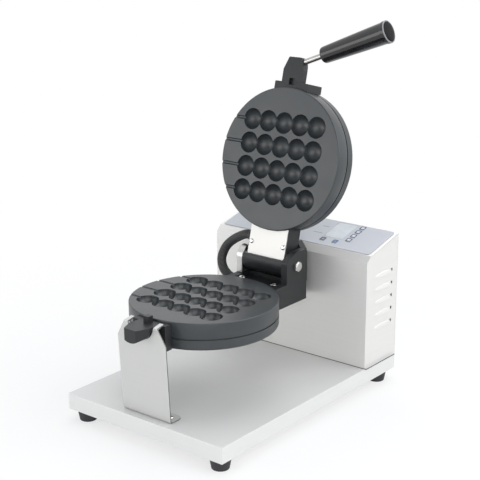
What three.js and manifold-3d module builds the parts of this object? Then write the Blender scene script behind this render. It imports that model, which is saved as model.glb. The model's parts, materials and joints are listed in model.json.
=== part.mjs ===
// Rotary waffle stick maker: two round cast pans with rows of half-ball cavities, hinged together and
// turning as a pair on a hollow shaft, between a front cradle and a rear control housing on a tray.
// Millimetres. X runs to the right, Y from the front edge of the tray to the back, Z up.
// The machine is drawn with Z = 0 on the tray's top sheet, and is moved to its floor level at the end.

import * as THREE from "three";
import { mergeVertices } from "three/addons/utils/BufferGeometryUtils.js";
import ManifoldModule from "manifold-3d";

const wasm = await ManifoldModule();
wasm.setup();

// Clearances
const fitGap = 0.3;        // between pieces that touch when the machine is assembled
const matingGap = 0.5;     // between the two cooking faces when the lid is closed
const runningGap = 0.8;    // between the turning shaft's flange and its fixed bearing
const cutOverrun = 1;      // how far a cutting tool passes the face that it cuts

// Stand
const baseWidth = 250;
const skirtHeight = 21;
const standSheet = 1.5;
const skirtReturn = 36;    // flange turned inward under the skirt, which carries the feet
const footHeight = 14;
const footTopRadius = 13.2;
const footBottomRadius = 10.8;
const footFrontInset = 14.5; // from the tray's front edge to a foot's axis
const footRearInset = 22;
const footLeftInset = 19;
const footRightInset = 14.5;
const footRecessRadius = 5.4;
const footRecessDepth = 5;
const footScrewRadius = 2.4;
const footScrewHeadRadius = 4.4;
const footScrewHeadHeight = 2.6;
const footNutRadius = 4.6;
const footNutHeight = 3.4;

// Cooking pattern
const ballsPerRow = 5;
const rowsPerPan = 4;
const ballRadius = 14;
const ballOverlap = 2.4;   // how far neighbouring balls of one row run into each other
const rowLand = 3.1;       // flat face left between two rows
const rimLand = 9.7;       // flat face left outside the outermost ball
const stickRadius = 2.3;
const mouldFloor = 6;      // metal left under a ball

// Pans
const deckClearance = 28.3; // from the tray's top to the edge of a pan that stands upright in its flip
const rimChamfer = 1.4;
const coverWall = 6;
const coverFloor = 3.9;
const coverEdgeRound = 3.5;
const elementRadius = 4;
const elementRingRadius = 58;
const elementGapDegrees = 20;
const leadOutletWidth = 26;
const clampSheet = 1.6;
const clampMargin = 7;
const clampBossRadius = 14;
const coverScrewRadius = 2.5;
const coverScrewBossRadius = 6;
const coverScrewBite = 6;
const coverScrewCount = 4;

// Front lugs
const lugRecess = 2.8;     // lug face behind the cooking face
const lugFlangeReach = 7;
const lugFlangeShoulder = 10.2;
const tongueHalfWidth = 16;
const tongueLength = 32.3;
const tongueChamferAcross = 6.6;
const tongueChamferAlong = 16.2;
const tongueEdgeRound = 1.5;
const trunnionShoulder = 4;
const pegSide = 8;
const pegEngagement = 2.2;
const pegSetForward = 0.8;
const socketSpareDepth = 2.2;

// Cradle
const cradleSetback = 9.75;
const cradleLeanDegrees = 3.1;
const cradleHalfWidth = 38.3;
const cradleBendRadius = 2.5;
const cradleFootLength = 23;
const cradleFootCorner = 9;
const cradleToFlange = 14.5;
const hornTopWidth = 5.7;
const hornShoulderDrop = 20.5;
const hornShoulderRound = 3;
const hornDrop = 1.8;      // horn tips below the flip axis
const hornLipLength = 12;
const hornLipRise = 2.4;
const cradleScrewInset = 10.4;
const cradleScrewRadius = 2;
const cradleScrewHeadRadius = 3.8;
const cradleScrewHeadHeight = 2.4;
const cradleNutRadius = 4.2;
const cradleNutHeight = 3.2;

// Hinge and lid neck
const openDegrees = 104.5;
const hingeReach = 39.8;   // from the pan's rim to the hinge pin
const hingeRise = 15.5;    // hinge pin above the flip axis
const knuckleRadius = 17;
const knuckleShoulder = 2; // knuckle wider than the neck, on each side
const neckHalfWidth = 30;
const neckRecess = 5;      // neck's cover plate behind the cooking face
const neckPlateSheet = 1.2;
const neckWall = 5;
const neckPocketDepth = 16;
const neckPlateReach = 35.5;
const neckScrewRadius = 1.6;
const neckScrewHeadRadius = 3.4;
const neckScrewHeadHeight = 1.6;
const neckScrewBite = 9;
const neckScrewSetback = 16.8;
const washerThickness = 1.4;
const washerRadius = 10;
const pinRadius = 5;
const pinHeadRadius = 7.4;
const pinHeadHeight = 4.2;
const pinCrownRadius = 5.8;
const pinCrownHeight = 5.2;
const pinNutHeight = 6;

// Lower yoke
const cheekThickness = 9.5;
const cheekFrontReach = 19.6;
const cheekRearReach = 24.4;
const cheekFrontRise = 9;
const cheekRearRise = 18.2;
const cheekRound = 6;
const knuckleFloorGap = 3.8;
const yokeCorner = 2;
const yokeRearReach = 33.4;
const stopRise = 24.9;
const stopHalfWidth = 36;
const stopCornerAcross = 8;
const stopCornerDown = 10;
const trayRecess = 5;
const traySideWall = 1.5;
const trayFrontWall = 4.2;
const earHalfDepth = 15;
const yokeScrewRadius = 3;
const yokeScrewHeadRadius = 5;
const yokeScrewHeadHeight = 4;
const yokeScrewBite = 9;
const yokeScrewEdgeGap = 1.5; // between a screw's head and the tray's side wall
const yokeScrewSetback = 16;

// Shaft and its bearing
const shaftRadius = 11;
const shaftBoreRadius = 7.5;
const shaftBoreDepth = 16.5; // of the bore that goes on into the yoke
const shaftFlangeRadius = 27;
const shaftFlangeThickness = 4;
const bearingFlangeThickness = 3.5;
const bearingFlangeRadius = 22;
const bearingSleeveRadius = 15;
const bearingSleeveLength = 16;
const collarWidth = 8;
const collarRadius = 17;
const frictionWasherThickness = 1.5;

// Housing
const housingDepth = 74.4;
const housingSheet = 1.2;
const housingFlange = 12;  // sheet turned inward along the tray and the rear cover
const housingHeadRoom = 1.7;
const housingBevelRise = 8;
const housingBevelRun = 8.1;
const topSlopeDegrees = 14.2;
const louvresPerSide = 5;
const louvrePitch = 17.7;
const louvreLength = 45;
const louvreSetback = 17.7;
const louvreLowest = 49.5;
const louvreBulge = 2.8;
const louvreRise = 6;

// Control panel: a film with raised keys over a folded lid, and the board that hangs below it
const overlaySheet = 0.6;
const overlaySideMargin = 4;
const overlayEdgeMargin = 2;
const overlayCorner = 4;
const windowWidth = 30;
const windowFrontMargin = 21.7; // from the film's front edge
const windowRearMargin = 2.4;
const keyCount = 4;
const keyFrontMargin = 18.9;    // from the film's front edge to the column of keys
const keyRearMargin = 2.6;
const keyGap = 3;
const keyCorner = 1.5;
const keyRise = 0.7;
const darkKeySetback = 13.8;    // from the film's front edge to the key's middle
const blueKeySetback = 13.1;
const panelLip = 8;
const panelLipSetback = 18;
const boardThickness = 1.6;
const boardDrop = 12;
const boardSideMargin = 40;
const boardFrontSetback = 17;
const boardRearSetback = 9;
const standoffRadius = 3;
const displayFrame = 3;

// Places across the overlay, as shares of its width from the middle
const windowPlaceShare = 0.206;
const darkKeyPlaceShare = 0.165;
const blueKeyPlaceShare = 0.247;
const keyColumnPlaceShare = 0.31;

// Handle
const rodRadius = 3.8;
const rodExposed = 29;
const rodSocketDepth = 8;
const rodAboveLugFace = 6;
const rodOnChamferShare = 0.69;  // of the tongue's chamfer, from its rear end
const gripLength = 98;
const gripHoldLength = 70;
const gripThinRadius = 11;
const gripThickRadius = 14.5;
const gripRound = 3;
const gripCapRecess = 5;
const gripCapWall = 1.6;
const gripCapDome = 1.6;
const gripCapDomeRadiusShares = [0.9, 0.6];
const gripCapDomeHeightShares = [0.5, 0.9];

// Conduit and its glands
const conduitRadius = 6.2;
const glandRadius = 8.2;
const glandLength = 6;
const glandSpigotRadius = 5;
const glandSpigotLength = 3;
const glandBoreRadius = 3.5;
const lidGlandRise = 8.5;    // above the neck's inner face
const yokeGlandRise = 13.4;  // above the yoke's underside
const yokeGlandForward = 3;  // in front of the hinge pin

// Housing contents and rear
const rearScrewRadius = 1.6;
const cableGlandHeight = 25;
const cableGlandBore = 4.2;
const cableGlandBody = 8;
const cableGlandNut = 11;
const cableGlandFlange = 5;
const cableGlandReach = 14;
const cableGlandInside = 9;
const cableGlandPlaceShare = 0.3;   // of the base width, from the middle
const terminalWidth = 46;
const terminalDepth = 18;
const terminalHeight = 20;
const terminalWells = 4;
const terminalWellRadius = 3;
const terminalWellDepth = 6;
const terminalPlaceShare = -0.26;   // of the base width, from the middle
const coreWidth = 52;
const coreDepth = 36;
const coreHeight = 42;
const windingWidth = 34;
const windingDepth = 46;
const windingHeight = 26;
const transformerPlaceShare = 0.28; // of the base width, from the middle
const contentsSetback = 16;
const loomRadius = 3;

// Facets round a full circle
const discSides = 48;
const notchSides = 32;
const shaftSides = 20;
const boreSides = 12;
const boltSides = 8;
const nutSides = 6;
const tubeSides = 6;
const conduitSides = 10;
const rowSides = 12;
const ballSteps = 5;
const elementSteps = 20;
const elementTailSteps = 6;
const loomSteps = 16;
const conduitSteps = 24;
const louvreSides = 8;
const louvreRings = 4;
const cornerSegments = 3;

// Worked out from the sizes above
const degrees = THREE.MathUtils.degToRad;
const ballPitch = 2 * ballRadius - ballOverlap;
const rowPitch = 2 * ballRadius + rowLand;
const patternHalfX = (ballsPerRow - 1) / 2 * ballPitch;
const patternHalfY = (rowsPerPan - 1) / 2 * rowPitch;
const panRadius = Math.hypot(patternHalfX, patternHalfY) + ballRadius + rimLand;
const rimGapRadius = panRadius + fitGap;
const flipAxisHeight = panRadius + deckClearance;
const faceZ = flipAxisHeight - matingGap / 2;
const mouldBackZ = faceZ - ballRadius - mouldFloor;
const coverFaceZ = mouldBackZ - fitGap;
const elementZ = mouldBackZ - fitGap - elementRadius;
const clampZ = elementZ - elementRadius - fitGap - clampSheet;
const coverFloorZ = clampZ - fitGap;
const panBottomZ = coverFloorZ - coverFloor;
const lugFaceZ = faceZ - lugRecess;
const trunnionRadius = tongueHalfWidth + trunnionShoulder;
const lugHalfWidth = tongueHalfWidth + lugFlangeShoulder;
const cradleLean = Math.tan(degrees(cradleLeanDegrees));
const hornTopZ = flipAxisHeight - hornDrop;
const cradleTopY = cradleSetback - cradleLean * hornTopZ;
const flangeFrontY = cradleTopY + cradleToFlange;
const tongueEndY = flangeFrontY - tongueLength;
const panCentreY = flangeFrontY + lugFlangeReach + panRadius;
const panRearY = panCentreY + panRadius;
const hingeY = panRearY + hingeReach;
const hingeZ = flipAxisHeight + hingeRise;
const openAngle = degrees(openDegrees);
const neckPlateZ = flipAxisHeight + neckRecess;
const neckInnerZ = neckPlateZ + neckPlateSheet + fitGap;
const neckPlateEndY = panRearY + neckPlateReach;
const neckPocketEndY = hingeY - knuckleRadius - neckWall;
const knuckleHalfWidth = neckHalfWidth + knuckleShoulder;
const cheekInnerX = knuckleHalfWidth + washerThickness + 2 * fitGap;
const yokeHalfWidth = cheekInnerX + cheekThickness;
const yokeTrayHalfWidth = cheekInnerX - traySideWall;
const yokeTopZ = hingeZ - knuckleRadius - knuckleFloorGap;
const yokeRearY = hingeY + yokeRearReach;
const stopTopZ = hingeZ + stopRise;
const shaftFlangeY = yokeRearY + fitGap;
const bearingFaceY = shaftFlangeY + shaftFlangeThickness + runningGap;
const housingFrontY = bearingFaceY + bearingFlangeThickness + fitGap;
const sleeveEndY = housingFrontY + bearingSleeveLength;
const frictionWasherY = sleeveEndY + fitGap;
const collarY = frictionWasherY + frictionWasherThickness + fitGap;
const journalEndY = collarY + collarWidth + fitGap;
const housingFrontHeight = flipAxisHeight + bearingFlangeRadius + housingHeadRoom;
const baseDepth = housingFrontY + housingDepth;
const topSlope = Math.tan(degrees(topSlopeDegrees));
const topSlopeCosine = Math.cos(degrees(topSlopeDegrees));
const bevelTopZ = housingFrontHeight + housingBevelRise;
const bevelTopY = housingFrontY + housingBevelRun;
const housingRearHeight = bevelTopZ + topSlope * (baseDepth - bevelTopY);
const rearFlangeY = baseDepth - 2 * housingSheet - fitGap;
const contentsRearY = baseDepth - contentsSetback;
const lidGlandY = neckPocketEndY - glandSpigotRadius - fitGap;
const lidGlandZ = neckInnerZ + lidGlandRise;
const yokeGlandY = hingeY - yokeGlandForward;
const yokeGlandZ = panBottomZ + yokeGlandRise;

// Materials
const finish = (color, roughness, metalness) =>
  new THREE.MeshStandardMaterial({ color, roughness, metalness });
const brushedSteel = finish(0xd2d3d2, 0.34, 1);
const polishedSteel = finish(0xe4e4e2, 0.16, 1);
const zincSteel = finish(0xb9bbbc, 0.4, 1);
const castCoating = finish(0x474c4f, 0.55, 0.3);
const blackPlastic = finish(0x17181a, 0.2, 0);
const blackRubber = finish(0x1c1c1d, 0.8, 0);
const membraneFilm = finish(0xc9cbd8, 0.45, 0);
const clearLens = finish(0xb6bfc6, 0.15, 0);
const circuitBoard = finish(0x1f5a3a, 0.6, 0);
const insulator = finish(0xd9d3c4, 0.6, 0);
const varnishedCore = finish(0x6d5a48, 0.5, 0.4);
const bronze = finish(0xa98545, 0.4, 1);
const elementAlloy = finish(0x5c5a57, 0.5, 1);

// Solids from three.js geometry, and booleans between them
function solidOf(geometry) {
  const bare = geometry.clone();
  bare.deleteAttribute("normal");
  bare.deleteAttribute("uv");
  const welded = mergeVertices(bare);
  return new wasm.Manifold(new wasm.Mesh({
    numProp: 3,
    vertProperties: new Float32Array(welded.attributes.position.array),
    triVerts: new Uint32Array(welded.index.array),
  }));
}

function geometryOf(solid) {
  const mesh = solid.getMesh();
  const geometry = new THREE.BufferGeometry();
  geometry.setAttribute("position", new THREE.BufferAttribute(new Float32Array(mesh.vertProperties), 3));
  geometry.setIndex(new THREE.BufferAttribute(new Uint32Array(mesh.triVerts), 1));
  geometry.computeVertexNormals();
  return geometry;
}

function join(first, ...others) {
  return geometryOf(others.reduce((sum, tool) => sum.add(solidOf(tool)), solidOf(first)));
}

function cut(stock, ...tools) {
  return geometryOf(tools.reduce((rest, tool) => rest.subtract(solidOf(tool)), solidOf(stock)));
}

function common(first, second) {
  return geometryOf(solidOf(first).intersect(solidOf(second)));
}

function mirrorX(geometry) {
  return geometryOf(solidOf(geometry).mirror([1, 0, 0]));
}

// Turns a solid drawn for the lower pan over the flip axis, to the closed lid's place
function overMate(geometry) {
  return geometryOf(solidOf(geometry).mirror([0, 0, 1]).translate([0, 0, 2 * flipAxisHeight]));
}

function block(x0, x1, y0, y1, z0, z1) {
  return new THREE.BoxGeometry(x1 - x0, y1 - y0, z1 - z0)
    .translate((x0 + x1) / 2, (y0 + y1) / 2, (z0 + z1) / 2);
}

// Round bars along each axis, from one end to the other
function barX(radius, x0, x1, y, z, sides = shaftSides) {
  return new THREE.CylinderGeometry(radius, radius, x1 - x0, sides)
    .rotateZ(-Math.PI / 2)
    .translate((x0 + x1) / 2, y, z);
}

function barY(radius, y0, y1, x, z, sides = shaftSides) {
  return new THREE.CylinderGeometry(radius, radius, y1 - y0, sides).translate(x, (y0 + y1) / 2, z);
}

function barZ(radius, z0, z1, x, y, sides = shaftSides) {
  return new THREE.CylinderGeometry(radius, radius, z1 - z0, sides)
    .rotateX(Math.PI / 2)
    .translate(x, y, (z0 + z1) / 2);
}

// A closed outline of [across, up] corners, each of which may carry a rounding radius
function outline(corners) {
  const shape = new THREE.Shape();
  corners.forEach(([across, up, radius = 0], index) => {
    const corner = new THREE.Vector2(across, up);
    const toBefore = new THREE.Vector2(...corners.at(index - 1)).sub(corner);
    const toAfter = new THREE.Vector2(...corners[(index + 1) % corners.length]).sub(corner);
    const halfAngle = Math.acos(toBefore.dot(toAfter) / toBefore.length() / toAfter.length()) / 2;
    const reach = Math.min(radius / Math.tan(halfAngle), toBefore.length() / 2, toAfter.length() / 2);
    const enter = toBefore.setLength(reach).add(corner);
    const leave = toAfter.setLength(reach).add(corner);
    if (index === 0) shape.moveTo(enter.x, enter.y);
    else shape.lineTo(enter.x, enter.y);
    if (radius > 0) shape.quadraticCurveTo(across, up, leave.x, leave.y);
  });
  return shape;
}

// The same outline moved inward by the thickness of a sheet; its corners run counterclockwise
function inward(corners, distance) {
  return corners.map(([across, up], index) => {
    const corner = new THREE.Vector2(across, up);
    const before = corner.clone().sub(new THREE.Vector2(...corners.at(index - 1))).normalize();
    const after = new THREE.Vector2(...corners[(index + 1) % corners.length]).sub(corner).normalize();
    const miter = new THREE.Vector2(-before.y - after.y, before.x + after.x)
      .multiplyScalar(distance / (1 + before.dot(after)));
    return [across + miter.x, up + miter.y];
  });
}

// Prisms: an outline in (y, z) drawn out along X, in (x, z) along Y, and in (x, y) along Z
function extruded(corners, length) {
  const settings = { depth: length, bevelEnabled: false, curveSegments: cornerSegments };
  return new THREE.ExtrudeGeometry(outline(corners), settings);
}

function prismX(corners, x0, x1) {
  const axes = [new THREE.Vector3(0, 1, 0), new THREE.Vector3(0, 0, 1), new THREE.Vector3(1, 0, 0)];
  return extruded(corners, x1 - x0).applyMatrix4(new THREE.Matrix4().makeBasis(...axes)).translate(x0, 0, 0);
}

function prismY(corners, y0, y1) {
  return extruded(corners, y1 - y0).rotateX(Math.PI / 2).translate(0, y1, 0);
}

function prismZ(corners, z0, z1) {
  return extruded(corners, z1 - z0).translate(0, 0, z0);
}

// A rectangle of [across, along] corners with one radius
function rectangle(x0, x1, y0, y1, radius = 0) {
  return [[x0, y0, radius], [x1, y0, radius], [x1, y1, radius], [x0, y1, radius]];
}

// A solid turned about a vertical axis at (x, y), from a half section of [radius, height] points
function turned(profile, x, y, sides) {
  const points = profile.map(([radius, height]) => new THREE.Vector2(radius, height));
  return new THREE.LatheGeometry(points, sides).rotateX(Math.PI / 2).translate(x, y, 0);
}

// A tube of round section along a curve
function tubeAlong(points, radius, sides, steps) {
  const section = new THREE.Shape();
  for (let side = 0; side < sides; side += 1) {
    const angle = side / sides * 2 * Math.PI;
    if (side === 0) section.moveTo(radius * Math.cos(angle), radius * Math.sin(angle));
    else section.lineTo(radius * Math.cos(angle), radius * Math.sin(angle));
  }
  const route = new THREE.CatmullRomCurve3(points, false, "centripetal");
  return new THREE.ExtrudeGeometry(section, { steps, extrudePath: route, bevelEnabled: false });
}

// A screw standing on its point, with the underside of its chamfered head at seatZ
function screw(x, y, seatZ, headRadius, headHeight, shankRadius, length) {
  const chamfer = headHeight / 3;
  return turned([
    [0, seatZ - length],
    [shankRadius, seatZ - length],
    [shankRadius, seatZ],
    [headRadius, seatZ],
    [headRadius, seatZ + headHeight - chamfer],
    [headRadius - chamfer, seatZ + headHeight],
    [0, seatZ + headHeight],
  ], x, y, boltSides);
}

// The tray: a folded sheet whose skirt is turned inward at the bottom to carry the feet
function footPlaces() {
  const left = -baseWidth / 2 + footLeftInset;
  const right = baseWidth / 2 - footRightInset;
  const rear = baseDepth - footRearInset;
  return [[left, footFrontInset], [right, footFrontInset], [left, rear], [right, rear]];
}

function cradleScrewPlaces() {
  const across = cradleHalfWidth - cradleScrewInset;
  const y = cradleSetback + cradleFootLength / 2;
  return [[-across, y], [across, y]];
}

function baseTray() {
  const half = baseWidth / 2;
  const stock = block(-half, half, 0, baseDepth, -skirtHeight, 0);
  const hollow = block(-half + standSheet, half - standSheet, standSheet, baseDepth - standSheet,
    -skirtHeight + standSheet, -standSheet);
  const opening = block(-half + skirtReturn, half - skirtReturn, skirtReturn, baseDepth - skirtReturn,
    -skirtHeight - cutOverrun, -standSheet);
  const footHoles = footPlaces().map(([x, y]) => barZ(footScrewRadius + fitGap,
    -skirtHeight - cutOverrun, -skirtHeight + standSheet + cutOverrun, x, y, boltSides));
  const cradleHoles = cradleScrewPlaces().map(([x, y]) => barZ(cradleScrewRadius + fitGap,
    -standSheet - cutOverrun, cutOverrun, x, y, boltSides));
  return cut(stock, hollow, opening, ...footHoles, ...cradleHoles);
}

// A tapered rubber foot with a recess for the head of its screw
function foot(x, y) {
  const top = -skirtHeight - fitGap;
  const bottom = -skirtHeight - footHeight;
  const bore = footScrewRadius + fitGap;
  return turned([
    [bore, bottom + footRecessDepth],
    [footRecessRadius, bottom + footRecessDepth],
    [footRecessRadius, bottom],
    [footBottomRadius, bottom],
    [footTopRadius, top],
    [bore, top],
    [bore, bottom + footRecessDepth],
  ], x, y, boreSides);
}

function footScrew(x, y) {
  const seat = -skirtHeight - footHeight + footRecessDepth - fitGap;
  const nutZ = -skirtHeight + standSheet + fitGap;
  return turned([
    [0, seat - footScrewHeadHeight],
    [footScrewHeadRadius, seat - footScrewHeadHeight],
    [footScrewHeadRadius, seat],
    [footScrewRadius, seat],
    [footScrewRadius, nutZ],
    [footNutRadius, nutZ],
    [footNutRadius, nutZ + footNutHeight],
    [0, nutZ + footNutHeight],
  ], x, y, boltSides);
}

// Cradle: a bent sheet with a round notch that carries the tongue of the pan that is below
function cradleBracket() {
  const faceY = (z) => cradleSetback - cradleLean * z;
  const footEndY = cradleSetback + cradleFootLength;
  const bendZ = hornTopZ - standSheet;
  const footTopZ = fitGap + standSheet;
  const bentSheet = prismX([
    [faceY(fitGap), fitGap, cradleBendRadius + standSheet],
    [footEndY, fitGap],
    [footEndY, footTopZ],
    [faceY(footTopZ) + standSheet, footTopZ, cradleBendRadius],
    [faceY(bendZ) + standSheet, bendZ],
    [faceY(bendZ), bendZ],
  ], -cradleHalfWidth, cradleHalfWidth);
  const hornInner = trunnionRadius + fitGap;
  const hornOuter = hornInner + hornTopWidth;
  const lip = prismX([
    [cradleTopY, bendZ - standSheet],
    [cradleTopY + standSheet, bendZ - standSheet],
    [cradleTopY + standSheet, bendZ],
    [cradleTopY + hornLipLength, bendZ + hornLipRise],
    [cradleTopY + hornLipLength, hornTopZ + hornLipRise],
    [cradleTopY, hornTopZ, standSheet],
  ], hornInner, cradleHalfWidth);
  const topZ = hornTopZ + hornLipRise + cutOverrun;
  const elevation = prismY([
    [-cradleHalfWidth, -cutOverrun],
    [cradleHalfWidth, -cutOverrun],
    [cradleHalfWidth, hornTopZ - hornShoulderDrop, hornShoulderRound],
    [hornOuter, hornTopZ],
    [hornOuter, topZ],
    [-hornOuter, topZ],
    [-hornOuter, hornTopZ],
    [-cradleHalfWidth, hornTopZ - hornShoulderDrop, hornShoulderRound],
  ], cradleTopY - cutOverrun, footEndY + cutOverrun);
  const plan = prismZ([
    [-cradleHalfWidth, cradleTopY - cutOverrun],
    [cradleHalfWidth, cradleTopY - cutOverrun],
    [cradleHalfWidth, footEndY, cradleFootCorner],
    [-cradleHalfWidth, footEndY, cradleFootCorner],
  ], 0, topZ);
  const trimmed = common(common(join(bentSheet, lip, mirrorX(lip)), elevation), plan);
  const notch = barY(hornInner, cradleTopY - cutOverrun, footEndY, 0, flipAxisHeight, notchSides);
  const holes = cradleScrewPlaces().map(([x, y]) => barZ(cradleScrewRadius + fitGap,
    -cutOverrun, footTopZ + cutOverrun, x, y, boltSides));
  return cut(trimmed, notch, ...holes);
}

function cradleScrew(x, y) {
  const seat = standSheet + 2 * fitGap;
  const nutTop = -standSheet - fitGap;
  const bolt = screw(x, y, seat, cradleScrewHeadRadius, cradleScrewHeadHeight, cradleScrewRadius,
    seat - nutTop + cradleNutHeight);
  return join(bolt, barZ(cradleNutRadius, nutTop - cradleNutHeight, nutTop, x, y, nutSides));
}

// Mould plate, drawn as the lower one: a disc with rows of half balls and a stick groove for each row
function coverScrewPlaces() {
  const radius = panRadius - coverWall - coverScrewRadius;
  return Array.from({ length: coverScrewCount }, (_, step) => {
    const angle = (step + 1 / 2) / coverScrewCount * 2 * Math.PI;
    return [radius * Math.cos(angle), panCentreY + radius * Math.sin(angle)];
  });
}

// One row of the pattern: a string of balls and its stick, turned about the row's own axis
function rowTool(y) {
  const stickAngle = Math.asin(stickRadius / ballRadius);
  const neckAngle = Math.acos(ballPitch / 2 / ballRadius);
  const profile = [[0, -rimGapRadius], [stickRadius, -rimGapRadius]];
  for (let ball = 0; ball < ballsPerRow; ball += 1) {
    const enterAngle = ball === 0 ? stickAngle : neckAngle;
    const leaveAngle = ball === ballsPerRow - 1 ? 0 : neckAngle;
    const firstStep = ball === 0 ? 0 : 1;
    for (let step = firstStep; step <= ballSteps; step += 1) {
      const angle = enterAngle + (Math.PI - enterAngle - leaveAngle) * step / ballSteps;
      profile.push([
        ballRadius * Math.sin(angle),
        ball * ballPitch - patternHalfX - ballRadius * Math.cos(angle),
      ]);
    }
  }
  const points = profile.map(([radius, along]) => new THREE.Vector2(radius, along));
  return new THREE.LatheGeometry(points, rowSides).rotateZ(-Math.PI / 2).translate(0, y, faceZ);
}

function mouldPlate() {
  const stock = turned([
    [0, mouldBackZ],
    [panRadius, mouldBackZ],
    [panRadius, faceZ - rimChamfer],
    [panRadius - rimChamfer, faceZ],
    [0, faceZ],
  ], 0, panCentreY, discSides);
  const screwHoles = coverScrewPlaces().map(([x, y]) => barZ(coverScrewRadius + fitGap,
    mouldBackZ - cutOverrun, mouldBackZ + coverScrewBite, x, y, boltSides));
  const rows = Array.from({ length: rowsPerPan }, (_, row) =>
    rowTool(panCentreY - patternHalfY + row * rowPitch));
  return cut(stock, ...screwHoles, ...rows);
}

// Heater cover: a shallow cup with bosses for its screws and an outlet for the leads at the back
function heaterCover() {
  const innerRadius = panRadius - coverWall;
  const shell = turned([
    [0, panBottomZ],
    [panRadius - coverEdgeRound, panBottomZ],
    [panRadius - coverEdgeRound / 3, panBottomZ + coverEdgeRound / 3],
    [panRadius, panBottomZ + coverEdgeRound],
    [panRadius, coverFaceZ],
    [innerRadius, coverFaceZ],
    [innerRadius, coverFloorZ],
    [0, coverFloorZ],
  ], 0, panCentreY, discSides);
  const insideWall = barZ(panRadius - coverWall / 2, panBottomZ, coverFaceZ + cutOverrun,
    0, panCentreY, discSides);
  const bosses = coverScrewPlaces().map(([x, y]) => common(
    barZ(coverScrewBossRadius, coverFloorZ - coverFloor / 2, coverFaceZ, x, y, boltSides), insideWall));
  const holes = coverScrewPlaces().map(([x, y]) => barZ(coverScrewRadius + fitGap,
    panBottomZ - cutOverrun, coverFaceZ + cutOverrun, x, y, boltSides));
  const outlet = block(-leadOutletWidth / 2, leadOutletWidth / 2, panCentreY + innerRadius - coverWall,
    panRearY + cutOverrun, coverFloorZ, coverFaceZ + cutOverrun);
  return cut(join(shell, ...bosses), ...holes, outlet);
}

// Tubular element: an open ring whose two ends turn back to the lead outlet
function heatingElement() {
  const points = [];
  const gap = degrees(elementGapDegrees) / 2;
  for (let step = 0; step <= elementSteps; step += 1) {
    const angle = Math.PI / 2 + gap + (2 * Math.PI - 2 * gap) * step / elementSteps;
    points.push(new THREE.Vector3(
      elementRingRadius * Math.cos(angle), panCentreY + elementRingRadius * Math.sin(angle), elementZ));
  }
  const endY = panRearY - coverWall - elementRadius;
  points.unshift(new THREE.Vector3(points[0].x, endY, elementZ));
  points.push(new THREE.Vector3(points.at(-1).x, endY, elementZ));
  return tubeAlong(points, elementRadius, tubeSides, elementSteps + elementTailSteps);
}

// Clamp plate: a disc with a raised middle, which holds the element against the mould plate
function elementClamp() {
  const outer = elementRingRadius + elementRadius + clampMargin;
  return turned([
    [0, clampZ],
    [outer, clampZ],
    [outer, clampZ + clampSheet],
    [clampBossRadius, clampZ + clampSheet],
    [clampBossRadius, mouldBackZ - fitGap],
    [0, mouldBackZ - fitGap],
  ], 0, panCentreY, shaftSides);
}

// Front lug, drawn as the lower one: a flange on the rim, and a tongue with a round underside
function frontLug() {
  const backY = panCentreY - panRadius / 2;
  const flange = prismZ([
    [-lugHalfWidth, flangeFrontY, tongueEdgeRound],
    [lugHalfWidth, flangeFrontY, tongueEdgeRound],
    [lugHalfWidth, backY],
    [-lugHalfWidth, backY],
  ], panBottomZ, lugFaceZ);
  const tongueBackY = flangeFrontY + lugFlangeReach / 2;
  const shoulderY = tongueEndY + tongueChamferAlong;
  const noseHalfWidth = tongueHalfWidth - tongueChamferAcross;
  const plan = prismZ([
    [-tongueHalfWidth, tongueBackY],
    [-tongueHalfWidth, shoulderY, tongueEdgeRound],
    [-noseHalfWidth, tongueEndY, tongueEdgeRound],
    [noseHalfWidth, tongueEndY, tongueEdgeRound],
    [tongueHalfWidth, shoulderY, tongueEdgeRound],
    [tongueHalfWidth, tongueBackY],
  ], flipAxisHeight - trunnionRadius - cutOverrun, lugFaceZ);
  const underside = barY(trunnionRadius, tongueEndY - cutOverrun, tongueBackY + cutOverrun, 0, flipAxisHeight,
    notchSides);
  const rim = barZ(rimGapRadius, panBottomZ - cutOverrun, lugFaceZ + cutOverrun, 0, panCentreY, discSides);
  return cut(join(common(plan, underside), flange), rim);
}

const pegY = flangeFrontY - pegSetForward;

function lowerLug() {
  const half = pegSide / 2;
  const topZ = 2 * flipAxisHeight - lugFaceZ + pegEngagement;
  return join(frontLug(), block(-half, half, pegY - half, pegY + half, lugFaceZ - cutOverrun, topZ));
}

// The lid's lug has the socket for that peg, and the hole for the handle's rod in its right chamfer
function upperLug() {
  const half = pegSide / 2 + fitGap;
  const innerZ = 2 * flipAxisHeight - lugFaceZ;
  const socket = block(-half, half, pegY - half, pegY + half, innerZ - cutOverrun,
    innerZ + pegEngagement + socketSpareDepth);
  const hole = alongHandle(barProfile(rodRadius + fitGap, -rodSocketDepth - fitGap, cutOverrun), boreSides);
  return cut(overMate(frontLug()), socket, hole);
}

// Handle, along a line that stands square on the tongue's right chamfer, level with the pan
function alongHandle(profile, sides) {
  const along = new THREE.Vector3(tongueChamferAlong, -tongueChamferAcross, 0).normalize();
  const turn = new THREE.Quaternion().setFromUnitVectors(new THREE.Vector3(0, 1, 0), along);
  const points = profile.map(([radius, reach]) => new THREE.Vector2(radius, reach));
  return new THREE.LatheGeometry(points, sides).applyQuaternion(turn).translate(
    tongueHalfWidth - rodOnChamferShare * tongueChamferAcross,
    tongueEndY + (1 - rodOnChamferShare) * tongueChamferAlong,
    2 * flipAxisHeight - lugFaceZ + rodAboveLugFace);
}

function barProfile(radius, start, end) {
  return [[0, start], [radius, start], [radius, end], [0, end]];
}

function handleRod() {
  return alongHandle(barProfile(rodRadius, -rodSocketDepth, rodExposed + gripHoldLength), boreSides);
}

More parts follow.
